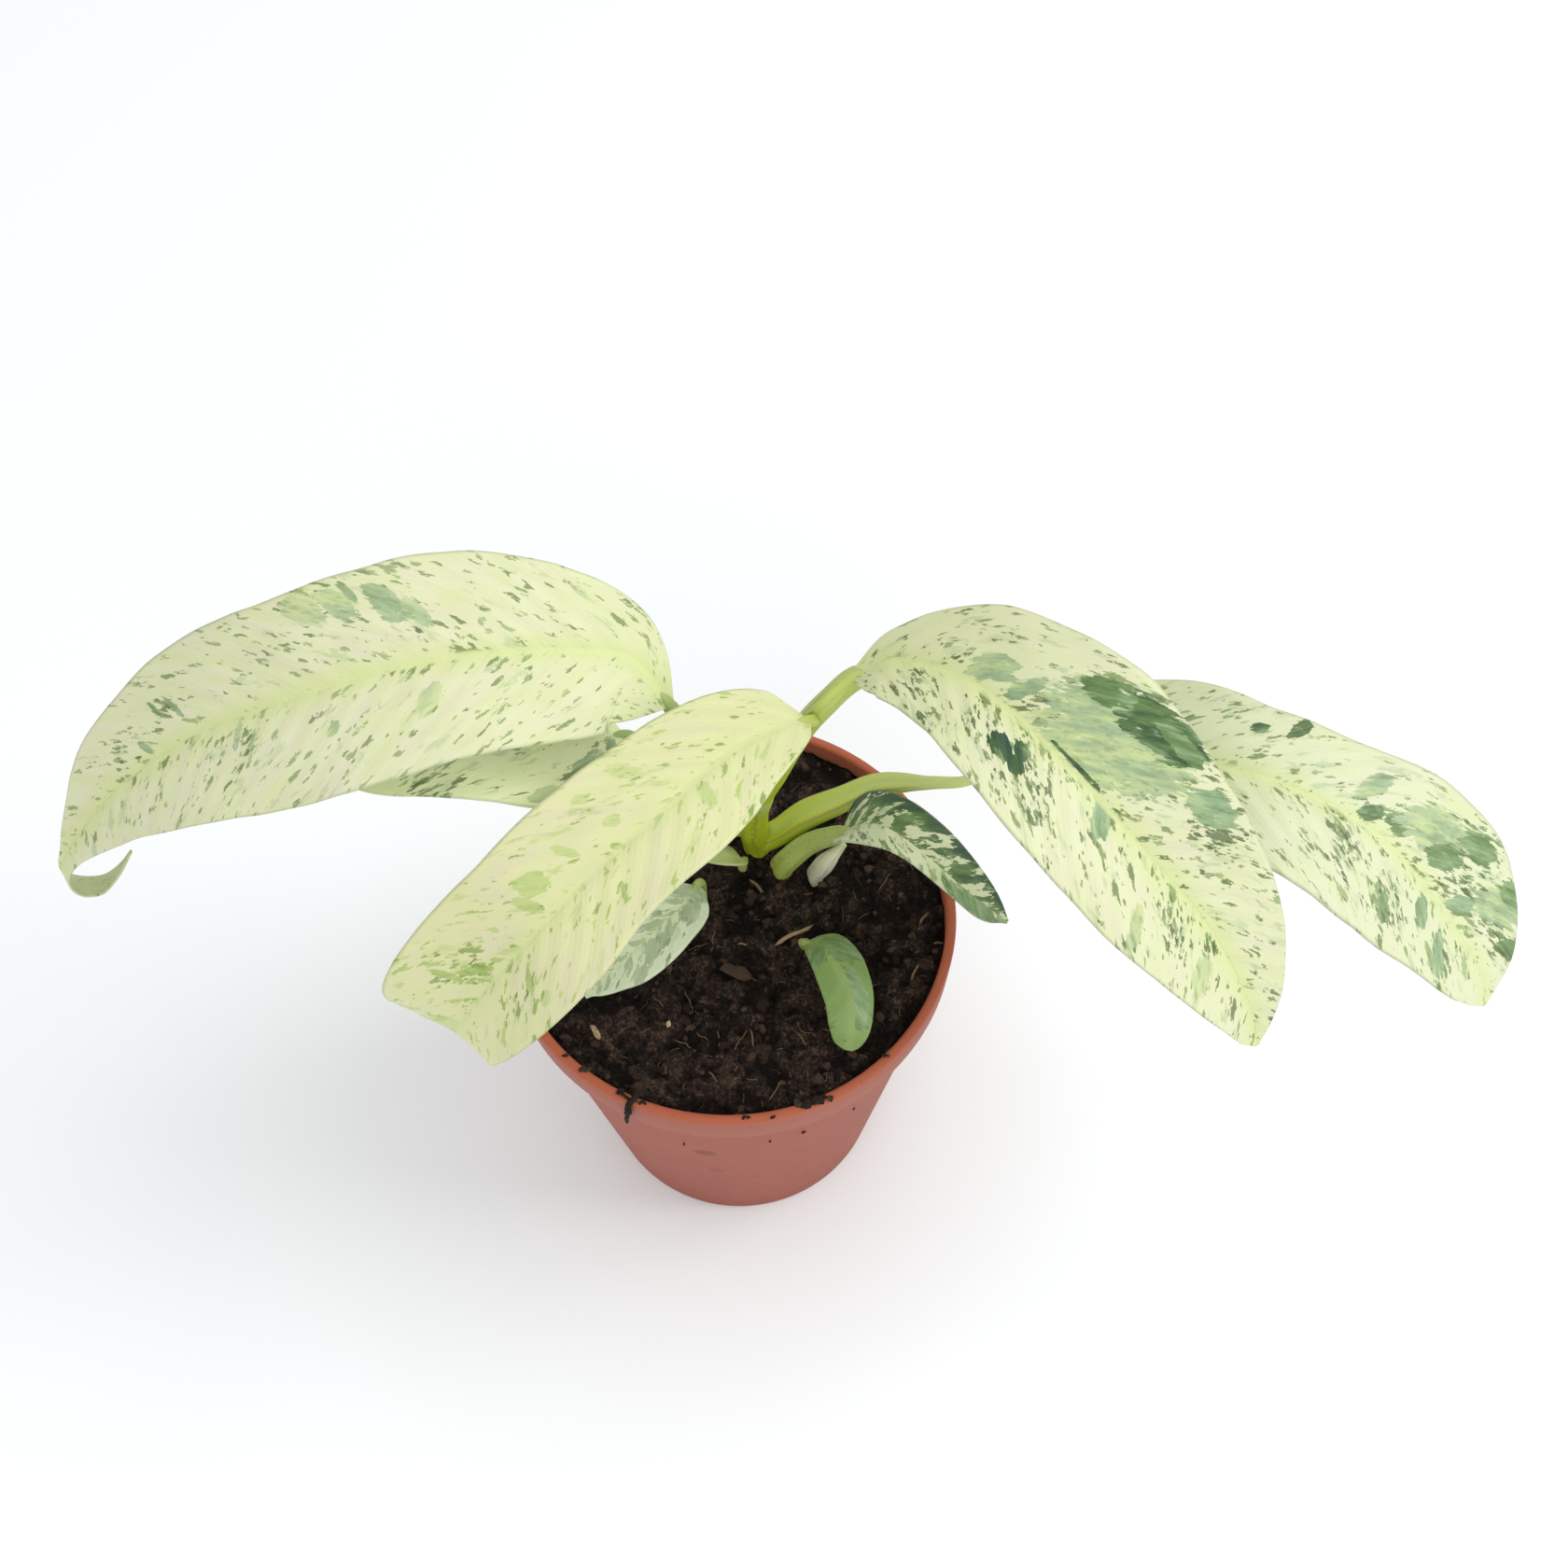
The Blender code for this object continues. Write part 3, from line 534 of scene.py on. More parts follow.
# painted light: the upper wall, the lip band and the rim's top are lighter copies of the wall
WALL_TOP_LIT = (0.34, 0.082, 0.047)
LIP_LIT = (0.36, 0.12, 0.08)
RIM_TOP_LIT = (0.40, 0.095, 0.04)
DUST = (0.40, 0.18, 0.13)
PEAT_SMEAR = (0.06, 0.03, 0.02)
PEAT_SPECK = (0.05, 0.028, 0.02)
SCUFF_RED = (0.17, 0.03, 0.016)
SCUFFS = (((-8.1, -49.0, 68.2), 2.2, 0.8), ((-5.8, -45.9, 48.0), 1.6, 0.35))
SCUFF_DEPTH = 6.0
SCUFF_HEIGHT = 2.0
TURNING_LINE = 1.1

# Floor and light: place in metres, size in metres and watts of each lamp
FLOOR_COLOUR = (0.895, 0.925, 0.94, 1)
FLOOR_SIZE = 40
SKY_STRENGTH = 0.775
LAMPS = {"key": ((1.15, 0.05, 1.25), 1.0, 14), "fill": ((-0.2, -1.3, 1.15), 1.2, 6)}
LAMP_TARGET = (0, 0, 0.12)


# Shader maths


class Shade:
    """One socket of a finish, so that shader maths reads as plain expressions."""

    def __init__(self, finish, socket):
        self.finish = finish
        self.socket = socket

    def math(self, operation, *values):
        inputs = dict(enumerate(values))
        return self.finish.node("ShaderNodeMath", {"operation": operation}, inputs)

    def __add__(self, other):
        return self.math("ADD", self, other)

    def __radd__(self, other):
        return self.math("ADD", other, self)

    def __sub__(self, other):
        return self.math("SUBTRACT", self, other)

    def __rsub__(self, other):
        return self.math("SUBTRACT", other, self)

    def __mul__(self, other):
        return self.math("MULTIPLY", self, other)

    def __rmul__(self, other):
        return self.math("MULTIPLY", other, self)

    def __truediv__(self, other):
        return self.math("DIVIDE", self, other)

    def __lt__(self, other):
        return self.math("LESS_THAN", self, other)

    def __gt__(self, other):
        return self.math("GREATER_THAN", self, other)

    def __abs__(self):
        return self.math("ABSOLUTE", self)

    def most(self, other):
        return self.math("MAXIMUM", self, other)

    def wave(self):
        return self.math("SINE", self)


class Finish:
    """A procedural material for one kind of surface."""

    def __init__(self, name):
        self.material = bpy.data.materials.new(name)
        self.material.use_nodes = True
        self.tree = self.material.node_tree
        self.surface = self.tree.nodes["Principled BSDF"]

    def node(self, kind, settings, inputs, output=0):
        """Adds a node, sets it up, feeds its sockets and gives back one of its outputs."""
        made = self.tree.nodes.new(kind)
        for setting, value in settings.items():
            if setting == "stops":
                self.set_stops(made.color_ramp, value)
            else:
                setattr(made, setting, value)
        for socket, value in inputs.items():
            if isinstance(value, Shade):
                self.tree.links.new(value.socket, made.inputs[socket])
            else:
                made.inputs[socket].default_value = value
        return Shade(self, made.outputs[output])

    def set_stops(self, ramp, stops):
        while len(ramp.elements) < len(stops):
            ramp.elements.new(0.5)
        for element, (at, colour) in zip(ramp.elements, stops):
            element.position = at
            element.color = (*colour, 1)

    def attribute(self, name):
        return self.node("ShaderNodeAttribute", {"attribute_name": name}, {}, "Vector")

    def place(self):
        """Object coordinates."""
        return self.node("ShaderNodeTexCoord", {}, {}, "Object")

    def parts(self, vector):
        return [self.node("ShaderNodeSeparateXYZ", {}, {0: vector}, axis) for axis in range(3)]

    def vector(self, x, y, z=0.0):
        return self.node("ShaderNodeCombineXYZ", {}, {0: x, 1: y, 2: z})

    def scaled(self, vector, scale):
        return self.node("ShaderNodeVectorMath", {"operation": "MULTIPLY"}, {0: vector, 1: scale})

    def shifted(self, vector, shift):
        return self.node("ShaderNodeVectorMath", {"operation": "ADD"}, {0: vector, 1: shift})

    def length(self, vector):
        return self.node("ShaderNodeVectorMath", {"operation": "LENGTH"}, {0: vector}, "Value")

    def noise(self, where, scale, detail=2.0, rough=0.5, flat=False, output="Fac"):
        size = {"Vector": where, "Scale": scale, "Detail": detail, "Roughness": rough}
        return self.node("ShaderNodeTexNoise", {"noise_dimensions": "2D" if flat else "3D"}, size, output)

    def step(self, value, low, high):
        """0 below low, 1 above high and smooth between. It falls where low is over high."""
        limits = {"Value": value, "From Min": low, "From Max": high}
        return self.node("ShaderNodeMapRange", {"interpolation_type": "SMOOTHSTEP"}, limits)

    def ramp(self, value, stops):
        return self.node("ShaderNodeValToRGB", {"stops": stops}, {"Fac": value})

    def mix(self, share, below, above):
        """One colour over another. Sockets 0, 6 and 7 of a Mix node are its factor and two colours."""
        colours = {0: share}
        for socket, colour in ((6, below), (7, above)):
            colours[socket] = colour if isinstance(colour, Shade) else (*colour, 1)
        return self.node("ShaderNodeMix", {"data_type": "RGBA"}, colours, 2)

    def bump(self, height, distance, strength=1.0):
        raised = {"Height": height, "Distance": distance, "Strength": strength}
        return self.node("ShaderNodeBump", {}, raised)

    def done(self, colour, roughness, normal=None, **fixed):
        """Feeds the surface. Fixed values are set on the shader's own sockets."""
        feeds = {"Base Color": colour, "Roughness": roughness}
        if normal:
            feeds["Normal"] = normal
        for socket, value in feeds.items():
            if isinstance(value, Shade):
                self.tree.links.new(value.socket, self.surface.inputs[socket])
            else:
                self.surface.inputs[socket].default_value = value
        for name, value in fixed.items():
            self.surface.inputs[name.replace("_", " ")].default_value = value
        return self.material


# Shape helpers


def through(at, values, share):
    """A smooth curve through the values, which stand at the shares in at."""
    last = len(at) - 1
    index = max(i for i in range(last) if at[i] <= max(share, at[0]))

    def slope(i):
        before, after = max(i - 1, 0), min(i + 1, last)
        return (values[after] - values[before]) / (at[after] - at[before])

    span = at[index + 1] - at[index]
    t = (share - at[index]) / span
    return (
        (2 * t**3 - 3 * t**2 + 1) * values[index]
        + (t**3 - 2 * t**2 + t) * span * slope(index)
        + (3 * t**2 - 2 * t**3) * values[index + 1]
        + (t**3 - t**2) * span * slope(index + 1)
    )


def evenly(values, share):
    """A smooth curve through values that stand at even steps from 0 to 1."""
    return through([i / (len(values) - 1) for i in range(len(values))], values, share)


def shares_along(points):
    """The share of the whole chord length at which each point stands."""
    lengths = [0.0]
    for before, after in zip(points, points[1:]):
        lengths.append(lengths[-1] + (after - before).length)
    return [length / lengths[-1] for length in lengths]


class Rib:
    """A smooth line through points, with the sideways direction carried along it."""

    def __init__(self, points):
        points = [Vector(point) for point in points]
        at = shares_along(points)
        self.places = [through(at, points, i / RIB_STEPS) for i in range(RIB_STEPS + 1)]
        self.shares = shares_along(self.places)
        self.length = sum((b - a).length for a, b in zip(self.places, self.places[1:]))
        self.alongs = []
        self.acrosses = []
        for i in range(RIB_STEPS + 1):
            before, after = max(i - 1, 0), min(i + 1, RIB_STEPS)
            along = (self.places[after] - self.places[before]).normalized()
            if self.acrosses:
                sideways = self.acrosses[-1]
            elif abs(along.z) > 0.99:
                sideways = Vector((1, 0, 0))
            else:
                sideways = along.cross(Vector((0, 0, 1)))
            self.alongs.append(along)
            self.acrosses.append((sideways - along * sideways.dot(along)).normalized())

    def at(self, share):
        """Place, direction along and direction across at a share of the length."""
        index = max(i for i in range(RIB_STEPS) if self.shares[i] <= max(share, 0))
        t = (share - self.shares[index]) / (self.shares[index + 1] - self.shares[index])
        here = self.places[index].lerp(self.places[index + 1], t)
        along = self.alongs[index].lerp(self.alongs[index + 1], t).normalized()
        across = self.acrosses[index].lerp(self.acrosses[index + 1], t)
        return here, along, (across - along * across.dot(along)).normalized()


def vein_place(along, away):
    """Where the side vein through a place leaves the midrib, in cm. It takes numbers or shades."""
    return along - away * VEIN_LEAN - away * away * VEIN_CURVE


def finished(piece, name, node=None):
    """Names a piece, lets it ride on the frame and hides the CAD node that it stands for."""
    piece.name = name
    piece.data.name = name
    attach(piece, "root")
    if node:
        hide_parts(node)
    return piece


def fresh():
    """Deselects everything, so that the next operator meets only the new piece."""
    if bpy.context.mode != "OBJECT":
        bpy.ops.object.mode_set(mode="OBJECT")
    bpy.ops.object.select_all(action="DESELECT")


def laid(columns, rows, placed, attribute):
    """A grid whose points go where placed(x, y) puts them, with x and y from -1 to 1.

    placed also gives the three values that the named attribute keeps for the finish.
    """
    fresh()
    bpy.ops.mesh.primitive_grid_add(x_subdivisions=columns, y_subdivisions=rows, size=2)
    piece = bpy.context.object
    values = piece.data.attributes.new(attribute, "FLOAT_VECTOR", "POINT")
    for vertex in piece.data.vertices:
        place, marks = placed(vertex.co.x, vertex.co.y)
        vertex.co = place * MM
        values.data[vertex.index].vector = marks
    return piece


def apply_modifier(modifier):
    bpy.ops.object.modifier_apply(modifier=modifier.name)


def close_up():
    """Merges the seam of the piece in hand, fills its open ends and turns its faces outwards."""
    bpy.ops.object.mode_set(mode="EDIT")
    bpy.ops.mesh.select_all(action="SELECT")
    bpy.ops.mesh.remove_doubles(threshold=SEAM * MM)
    bpy.ops.mesh.select_all(action="SELECT")
    bpy.ops.mesh.fill_holes(sides=0)
    bpy.ops.mesh.select_all(action="SELECT")
    bpy.ops.mesh.normals_make_consistent(inside=False)
    bpy.ops.object.mode_set(mode="OBJECT")


# Leaves


def blade_point(leaf, rib, seed, share, side):
    """A point of a blade's middle surface, and its distances along and out in cm and its side."""
    here, along, across = rib.at(share)
    roll = math.radians(evenly(leaf.get("roll", (0, 0)), share))
    up = across.cross(along)
    tilted = across * math.cos(roll) + up * math.sin(roll)
    across, up = tilted, up * math.cos(roll) - across * math.sin(roll)
    half_width = through(OUTLINE_AT, leaf["left"] if side < 0 else leaf["right"], share)
    along_cm = share * rib.length / CM
    half_width *= 1 + EDGE_WOBBLE * noise.noise(Vector((along_cm * 0.9, side, seed)))
    out = side * half_width
    away = abs(out)
    soft = leaf["soft_fold"]
    rise = math.tan(math.radians(evenly(leaf["fold"], share))) * (math.hypot(away, soft) - soft)
    rise -= leaf["arch"] * (out / ARCH_AT) ** 2
    count, height, phase = leaf["waves"]
    if side < 0:
        phase += LEFT_WAVE_SHIFT
    rise += height * side**2 * math.sin(2 * math.pi * count * share + phase) * math.sin(math.pi * share)
    size = min(1.0, rib.length / 100)
    rise += relief(along_cm, out, away, side, share, seed) * size
    marks = (along_cm, out / CM, side)
    return here + across * out + up * rise, marks


def relief(along_cm, out, away, side, share, seed):
    """The channel along the midrib, the swell between side veins and a slow unevenness, in mm."""
    channel = -CHANNEL_DEPTH * (1 - 0.6 * share) * math.exp(-((away / CHANNEL_WIDTH) ** 2))
    vein = vein_place(along_cm, away / CM)
    quilt = math.sin(2 * math.pi * vein / VEIN_SPACING_CM) * min(away / 4, 1) * (1 - side**2)
    swell = noise.noise(Vector((along_cm / SWELL_LENGTH_CM, out / SWELL_WIDTH, seed)))
    return channel + QUILT_HEIGHT * quilt + SWELL_HEIGHT * swell * min(away / 8, 1)


def build_leaf(node, leaf):
    rib = Rib(leaf["midrib"])
    marks = {**PLAIN_MARKS, **MARKS[node]}

    def placed(x, y):
        even = (y + 1) / 2
        eased = (1 - math.cos(math.pi * even)) / 2
        return blade_point(leaf, rib, marks["seed"], even + ROW_EASE * (eased - even), x)

    piece = laid(leaf["columns"], leaf["rows"], placed, "blade")
    name = node.replace("leaf", "blade")
    piece.data.materials.append(leaf_skin(name, marks))
    piece.data.materials.append(leaf_skin(name + "_under", marks, under=True))
    thick = piece.modifiers.new("thickness", "SOLIDIFY")
    thick.thickness = BLADE_THICKNESS * MM
    thick.offset = 0
    thick.material_offset = 1
    apply_modifier(thick)
    bpy.ops.object.shade_smooth()
    return finished(piece, name, node)


def spots(skin, vein, away, half, size, amount, seed, crowd, stretch=1.0, core=0.7):
    """Ragged spots, one to a cell and more of them in crowded places, and a random tone for each."""
    where = skin.vector(vein / size + seed, away / (size * stretch) + half * 13.7 + seed)
    ragged = skin.noise(where, 1.4, 3, 0.65, True, "Color")
    where = skin.shifted(where, skin.scaled(skin.shifted(ragged, (-0.5, -0.5, 0)), (1.5, 1.5, 0)))
    settings = {"voronoi_dimensions": "2D"}
    inputs = {"Vector": where, "Scale": 1.0, "Randomness": 1.0}
    distance = skin.node("ShaderNodeTexVoronoi", settings, inputs, "Distance")
    pick, width, tone = skin.parts(skin.node("ShaderNodeTexVoronoi", settings, inputs, "Color"))
    clump = skin.noise(skin.vector(vein + seed, away + half * 5.0), 0.9, 2, 0.5, True)
    chance = skin.step(clump, 0.36, 0.64) * (amount * 1.4) + crowd * (amount + 0.16) + amount * 0.3
    present = pick < chance
    reach = width * width * 0.38 + crowd * 0.08 + 0.2
    return skin.step(distance / reach, 1.0, core) * present, tone


def leaf_skin(name, marks, under=False):
    """A blade's finish: cream with a yellow-green rib, spots along its side veins and green patches."""
    skin = Finish(name)
    along, out, side = skin.parts(skin.attribute("blade"))
    away = abs(out)
    half = out > 0.0  # 1 on the right half, 0 on the left
    seed = marks["seed"]
    vein = vein_place(along, away)
    streaked = skin.vector(vein, away * 0.55, half * 3.0 + seed)

    # Ground colour: cream, washed with yellow-green along the veins and near the midrib
    wash = skin.step(skin.noise(skin.vector(vein, away * 0.8, half + seed), 1.5, 5, 0.62), 0.4, 0.66)
    colour = skin.mix(wash * 0.45, marks["cream"], marks["wash"])
    blush = skin.step(skin.noise(skin.vector(vein, away, seed + 9.0), 1.0, 4, 0.6), 0.46, 0.68)
    colour = skin.mix(blush * marks["blush"], colour, PINKISH)
    feather = skin.noise(streaked, 2.5, 3, 0.6) * 0.5 + 0.1
    near_rib = skin.step(away / feather, 1.7, 0.1)
    colour = skin.mix(near_rib * (0.7 * marks["rib"]), colour, YELLOW_GREEN)

    foot = skin.step(along, 6.0, 0.5) * (0.45 * marks["rib"])
    colour = skin.mix(foot, colour, FOOT_GREEN)

    # Side veins, a little yellower than the ground
    ridge = (vein * (2 * math.pi / VEIN_SPACING_CM)).wave()
    fine = (vein * (2 * math.pi / VEIN_SPACING_CM * 4) + skin.noise(streaked, 2.0, 1) * 4).wave()
    colour = skin.mix(skin.step(ridge, 0.9, 1.0) * (0.14 * marks["rib"]), colour, YELLOW_GREEN)

    # Patches and plain green
    lobes = skin.noise(skin.vector(vein * 3.2, away * 2.4, seed + half), 1.0, 4, 0.62)
    islands = skin.noise(skin.vector(vein * 4.6, away * 2.2, seed + 2.0 + half), 1.0, 4, 0.6)
    mottle = skin.noise(skin.vector(vein * 2.2, away * 1.2, seed + 5.0 + half), 1.0, 5, 0.66)
    torn = skin.noise(skin.vector(vein * 15.0, away * 9.0, seed + half), 1.0, 2, 0.5)
    ragged = lobes * 1.5 + islands * 1.2 + torn * 0.3
    present, dark = green_patches(skin, marks["patches"], along, away, half, ragged)
    covered = skin.step(present + ragged, 1.96, 2.03) * skin.step(present, 0.02, 0.12)
    left_cover, right_cover = marks["cover"]
    if left_cover or right_cover:
        cover = half * (right_cover - left_cover) + left_cover
        cover = cover * (1 - skin.step(abs(side), 0.5, 0.95) * marks["keep"])
        covered = covered.most(skin.step(skin.step(lobes, 0.3, 0.7) + cover, 0.94, 1.04))
        dark = dark.most(cover * 1.3)
    greens = FRESH_GREENS if marks["fresh"] else COOL_GREENS
    green = skin.ramp(dark * 0.8 + (mottle - 0.5) * 1.3 + 0.06, greens)
    pale_islands = skin.step(islands, 0.64, 0.67) * 0.85
    covered = covered * (1 - pale_islands) * (skin.step(dark, -0.1, 0.3) * 0.35 + 0.65)
    covered = covered * marks["veil"]
    colour = skin.mix(covered, colour, green)

    # Spots: soft ones, then large, middling and small ones, crowded round the patches and in clusters
    crowd = skin.step(present, 0.1, 0.5) * 0.5
    for along_cm, out_cm, reach in marks["clusters"]:
        crowd = crowd.most(patch_distance(skin, along_cm, out_cm, reach, reach, along, away, half))
    tones = FRESH_GREENS if marks["fresh"] else SPOT_GREENS
    lightest, darkest = marks["tones"]
    clear = 1 - covered * 0.8
    soft_amount, *amounts = marks["spots"]
    if soft_amount:
        soft, tone = spots(
            skin, vein, away, half, SOFT_SPOT_SIZE, soft_amount, seed + 7.0, crowd,
            stretch=1.2, core=0.2,
        )
        paler, deeper = (FRESH_PALE, FRESH_DEEP) if marks["fresh"] else (PALE_GREEN, GREY_GREEN)
        colour = skin.mix(soft * SOFT_SPOT_STRENGTH, colour, skin.mix(tone, paler, deeper))
    for (size, strength), amount in zip(SPOT_KINDS, amounts):
        if amount:
            spot, tone = spots(skin, vein, away, half, size, amount, seed + size * 100, crowd)
            ink = tone * (darkest - lightest) + crowd * 0.25 + lightest
            colour = skin.mix(spot * clear * strength, colour, skin.ramp(ink, tones))

    # The midrib itself and a thin margin
    rib_half = skin.step(along, 16.0, 0.0) * 0.1 + 0.025
    rib = skin.step(away / rib_half, 1.4, 0.4)
    colour = skin.mix(rib * marks["rib"], colour, RIB_GREEN)
    margin = skin.step(abs(side), 0.97, 1.0)
    colour = skin.mix(margin * 0.3, colour, MARGIN_GREEN)

    if under:
        colour = skin.mix(0.5, colour, UNDERSIDE_GREEN)
    pores = skin.noise(skin.vector(along, out), 55.0, 2, 0.5, True)
    streaks = skin.noise(streaked, 9.0, 3, 0.6)
    height = ridge * 0.2 + fine * 0.05 - rib * 0.4 + streaks * 0.25 + pores * 0.08
    normal = skin.bump(height, 0.0002)
    roughness = 0.42 + pores * 0.08 + (0.12 if under else 0.0)
    return skin.done(colour, roughness, normal, Specular_IOR_Level=0.28)


def patch_distance(skin, along_cm, out_cm, reach, width, along, away, half):
    """How near a place is to a mark's middle: 1 well inside it, 0 well outside and on the other half."""
    here = skin.vector(along - away * PATCH_LEAN, away)
    centre = (PATCH_LEAN * abs(out_cm) - along_cm, -abs(out_cm), 0)
    offset = skin.scaled(skin.shifted(here, centre), (1 / width, 1 / reach, 0))
    return skin.step(skin.length(offset), 1.6, 0.35) * (half if out_cm > 0 else 1 - half)


def green_patches(skin, patches, along, away, half, ragged):
    """Where the patches lie, from 0 well outside them to 1 well inside, and how dark they are there."""
    present, darkness = away * 0.0, away * 0.0
    for along_cm, out_cm, reach, width, dark in patches:
        near = patch_distance(skin, along_cm, out_cm, reach, width, along, away, half)
        present = present.most(near)
        darkness = darkness + skin.step(near + ragged, 1.9, 2.0) * (dark - darkness)
    return present, darkness


# Stalks and stem


def height_on(points, height):
    """The place and direction of a line of points where it reaches a height."""
    for before, after in zip(points, points[1:]):
        if before.z <= height <= after.z:
            share = (height - before.z) / (after.z - before.z)
            return before.lerp(after, share), (after - before).normalized()
    raise ValueError(f"no point of the line is at {height}")


def stalk_lines():
    """The points that each stalk passes, as in the CAD, from inside what bears it to under its blade."""
    stem = [Vector(point) for point in STEM_AXIS]
    lines = {"stem": stem}
    for node, stalk in STALKS.items():
        if stalk["from"] == "stem_top":
            onward = (stem[-1] - stem[-2]).normalized()
            points = [stem[-1] - onward, stem[-1] + onward * FIRST_RUN]
        elif stalk["from"] == "soil":
            heights = (SOIL_LEVEL - STALK_DEPTH, SOIL_LEVEL - 2, SOIL_LEVEL + 1)
            points = [Vector((*stalk["foot"], height)) for height in heights]
        else:
            here, along = height_on(lines[stalk["from"]], stalk["height"])
            side = math.radians(stalk["side"])
            out = Vector((math.cos(side), math.sin(side), 0))
            out = (out - along * out.dot(along)).normalized()
            clear = STEM_RADII[0] + stalk.get("run", FIRST_RUN)
            points = [here - along * STALK_SLANT, here + out * clear]
        points += [Vector(point) for point in stalk.get("via", ())]
        if "leaf" in stalk:
            rib = Rib(LEAVES[stalk["leaf"]]["midrib"])
            foot, along, across = rib.at(0)
            under = min(TAPER, rib.length / 8)
            lower = along.cross(across) * (0.85 * stalk["radii"][-1])
            short = foot - along * stalk.get("last_run", LAST_RUN)
            points += [short + lower * 0.7, foot + along * under + lower]
        lines[node] = points
    return lines


def stalk_section(turn, share, spread, end):
    """How far out a stalk's skin lies for a turn round it: a channel between its sheath's two lips."""
    sheathed = max(0.0, 1 - (share / end) ** 6) * min(1.0, share / 0.12)
    lips = math.exp(-(((abs(turn) - LIP_TURN) / 0.3) ** 2))
    channel = math.exp(-((turn / 0.6) ** 2))
    ribs = STALK_RIB_HEIGHT * math.cos(STALK_RIBS * turn)
    depth = STALK_GROOVE + SHEATH_GROOVE * sheathed
    return 1 + spread * sheathed * lips - depth * channel + ribs


def build_stalk(node, points, radii, sheath, finish, seed):
    rib = Rib(points)
    rows = max(24, round(rib.length / STALK_STEP))
    spread, end = sheath
    _, along, across = rib.at(0.6)
    upright = 1 if across.cross(along).z > 0 else -1
    blunt = node in ("stem", "sheath_pale")

    def placed(x, y):
        share = (y + 1) / 2
        turn = math.pi * x
        here, along, across = rib.at(share)
        up = across.cross(along) * upright
        radius = evenly(radii, share) * stalk_section(turn, share, spread, end)
        radius *= 1 + 0.04 * noise.noise(Vector((share * rib.length / 9, math.cos(turn), seed)))
        left = (1 - share) * rib.length
        if not blunt:
            radius *= 1 + KNEE * math.exp(-(((left - TAPER - 1.5) / 3) ** 2))
            radius *= math.sqrt(min(1.0, left / TAPER + 0.02))
        out = up * math.cos(turn) + across * (upright * math.sin(turn))
        return here + out * radius, (share * rib.length / CM, turn, share)

    piece = laid(STALK_SIDES, rows, placed, "stalk")
    close_up()
    bpy.ops.object.shade_smooth_by_angle(angle=math.radians(50))
    piece.data.materials.append(finish)
    name = node.replace("stalk", "petiole")
    return finished(piece, name + "_skin", node)


def stalk_skin(name, low, high, dry, slit, blotch):
    """Lime green, streaked, blotched, paler to the top, with painted shade in the slit between dry sheath
    lips.
    """
    skin = Finish(name)
    along, turn, share = skin.parts(skin.attribute("stalk"))
    around = skin.vector(turn.wave(), (turn + math.pi / 2).wave(), along * 0.25)
    streaks = skin.noise(around, 4.0, 4, 0.65)
    blend = skin.step(share + streaks * 0.3, 0.2, 0.95)
    colour = skin.mix(blend, low, high)
    colour = skin.mix(skin.step(streaks, 0.48, 0.75) * 0.4, colour, STREAK_GREEN)
    specks = skin.noise(skin.vector(turn * 1.3, along * 3.0, 2.0), 3.0, 3, 0.6)
    least = 0.72 - blotch * 0.2
    colour = skin.mix(skin.step(specks, least, least + 0.06) * blotch, colour, BLOTCH_GREEN)
    inside = skin.step(abs(turn), 0.8, 0.3) * skin.step(share, 0.9, 0.5)
    colour = skin.mix(inside * 0.3, colour, CHANNEL_GREEN)
    # Painted shade in the slit between the sheath's lips
    if slit:
        slit_shade = skin.step(abs(turn), 0.42, 0.12) * skin.step(share, 0.85, 0.7) * skin.step(share, 0.2, 0.4)
        colour = skin.mix(slit_shade * slit, colour, SLIT_SHADE)
    edge = skin.step(abs(abs(turn) - LIP_TURN), 0.14, 0.03) * skin.step(share, 0.7, 0.45)
    colour = skin.mix(edge * dry, colour, DRY_BROWN)
    colour = skin.mix(skin.step(share, 0.86, 1.0) * 0.6, colour, TOP_GREEN)
    normal = skin.bump(streaks + skin.noise(around, 24.0, 2) * 0.3, 0.0002)
    return skin.done(colour, 0.4 + streaks * 0.12, normal, Specular_IOR_Level=0.4)


def build_stalks():
    finishes = {name: stalk_skin(name, *looks) for name, looks in STALK_FINISHES.items()}
    lines = stalk_lines()
    build_stalk("stem", lines["stem"], STEM_RADII, (0.0, 1.0), finishes["lime_joint"], 1.0)
    for i, (node, stalk) in enumerate(STALKS.items()):
        stalk = {**PLAIN_STALK, **stalk}
        finish = finishes[stalk["finish"]]
        build_stalk(node, lines[node], stalk["radii"], stalk["sheath"], finish, 2.0 + i)


# Peat


def soil_height(x, y):
    """The peat's surface: the CAD's lumps, with smaller clods, nuggets and grains on them."""
    place = Vector((x, y, SOIL_LEVEL))
    from_edge = SOIL_RADIUS - place.xy.length
    calm = 1 - 0.6 * (place.xy.length / SOIL_RADIUS) ** 4
    height = LUMP_HEIGHT * calm * noise.fractal(place / LUMP_SIZE, 0.8, 2.2, 2)
    height += CLOD_HEIGHT * noise.fractal(place / CLOD_SIZE, 0.9, 2.1, 3)
    near, second = noise.voronoi(place / NUGGET_SIZE)[0][:2]
    height += NUGGET_HEIGHT * (second - near) - 0.5
    height += GRAIN_HEIGHT * noise.noise(place / GRAIN_SIZE)
    return SOIL_LEVEL + height - EDGE_DROP * max(0.0, 1 - from_edge / EDGE_REACH)


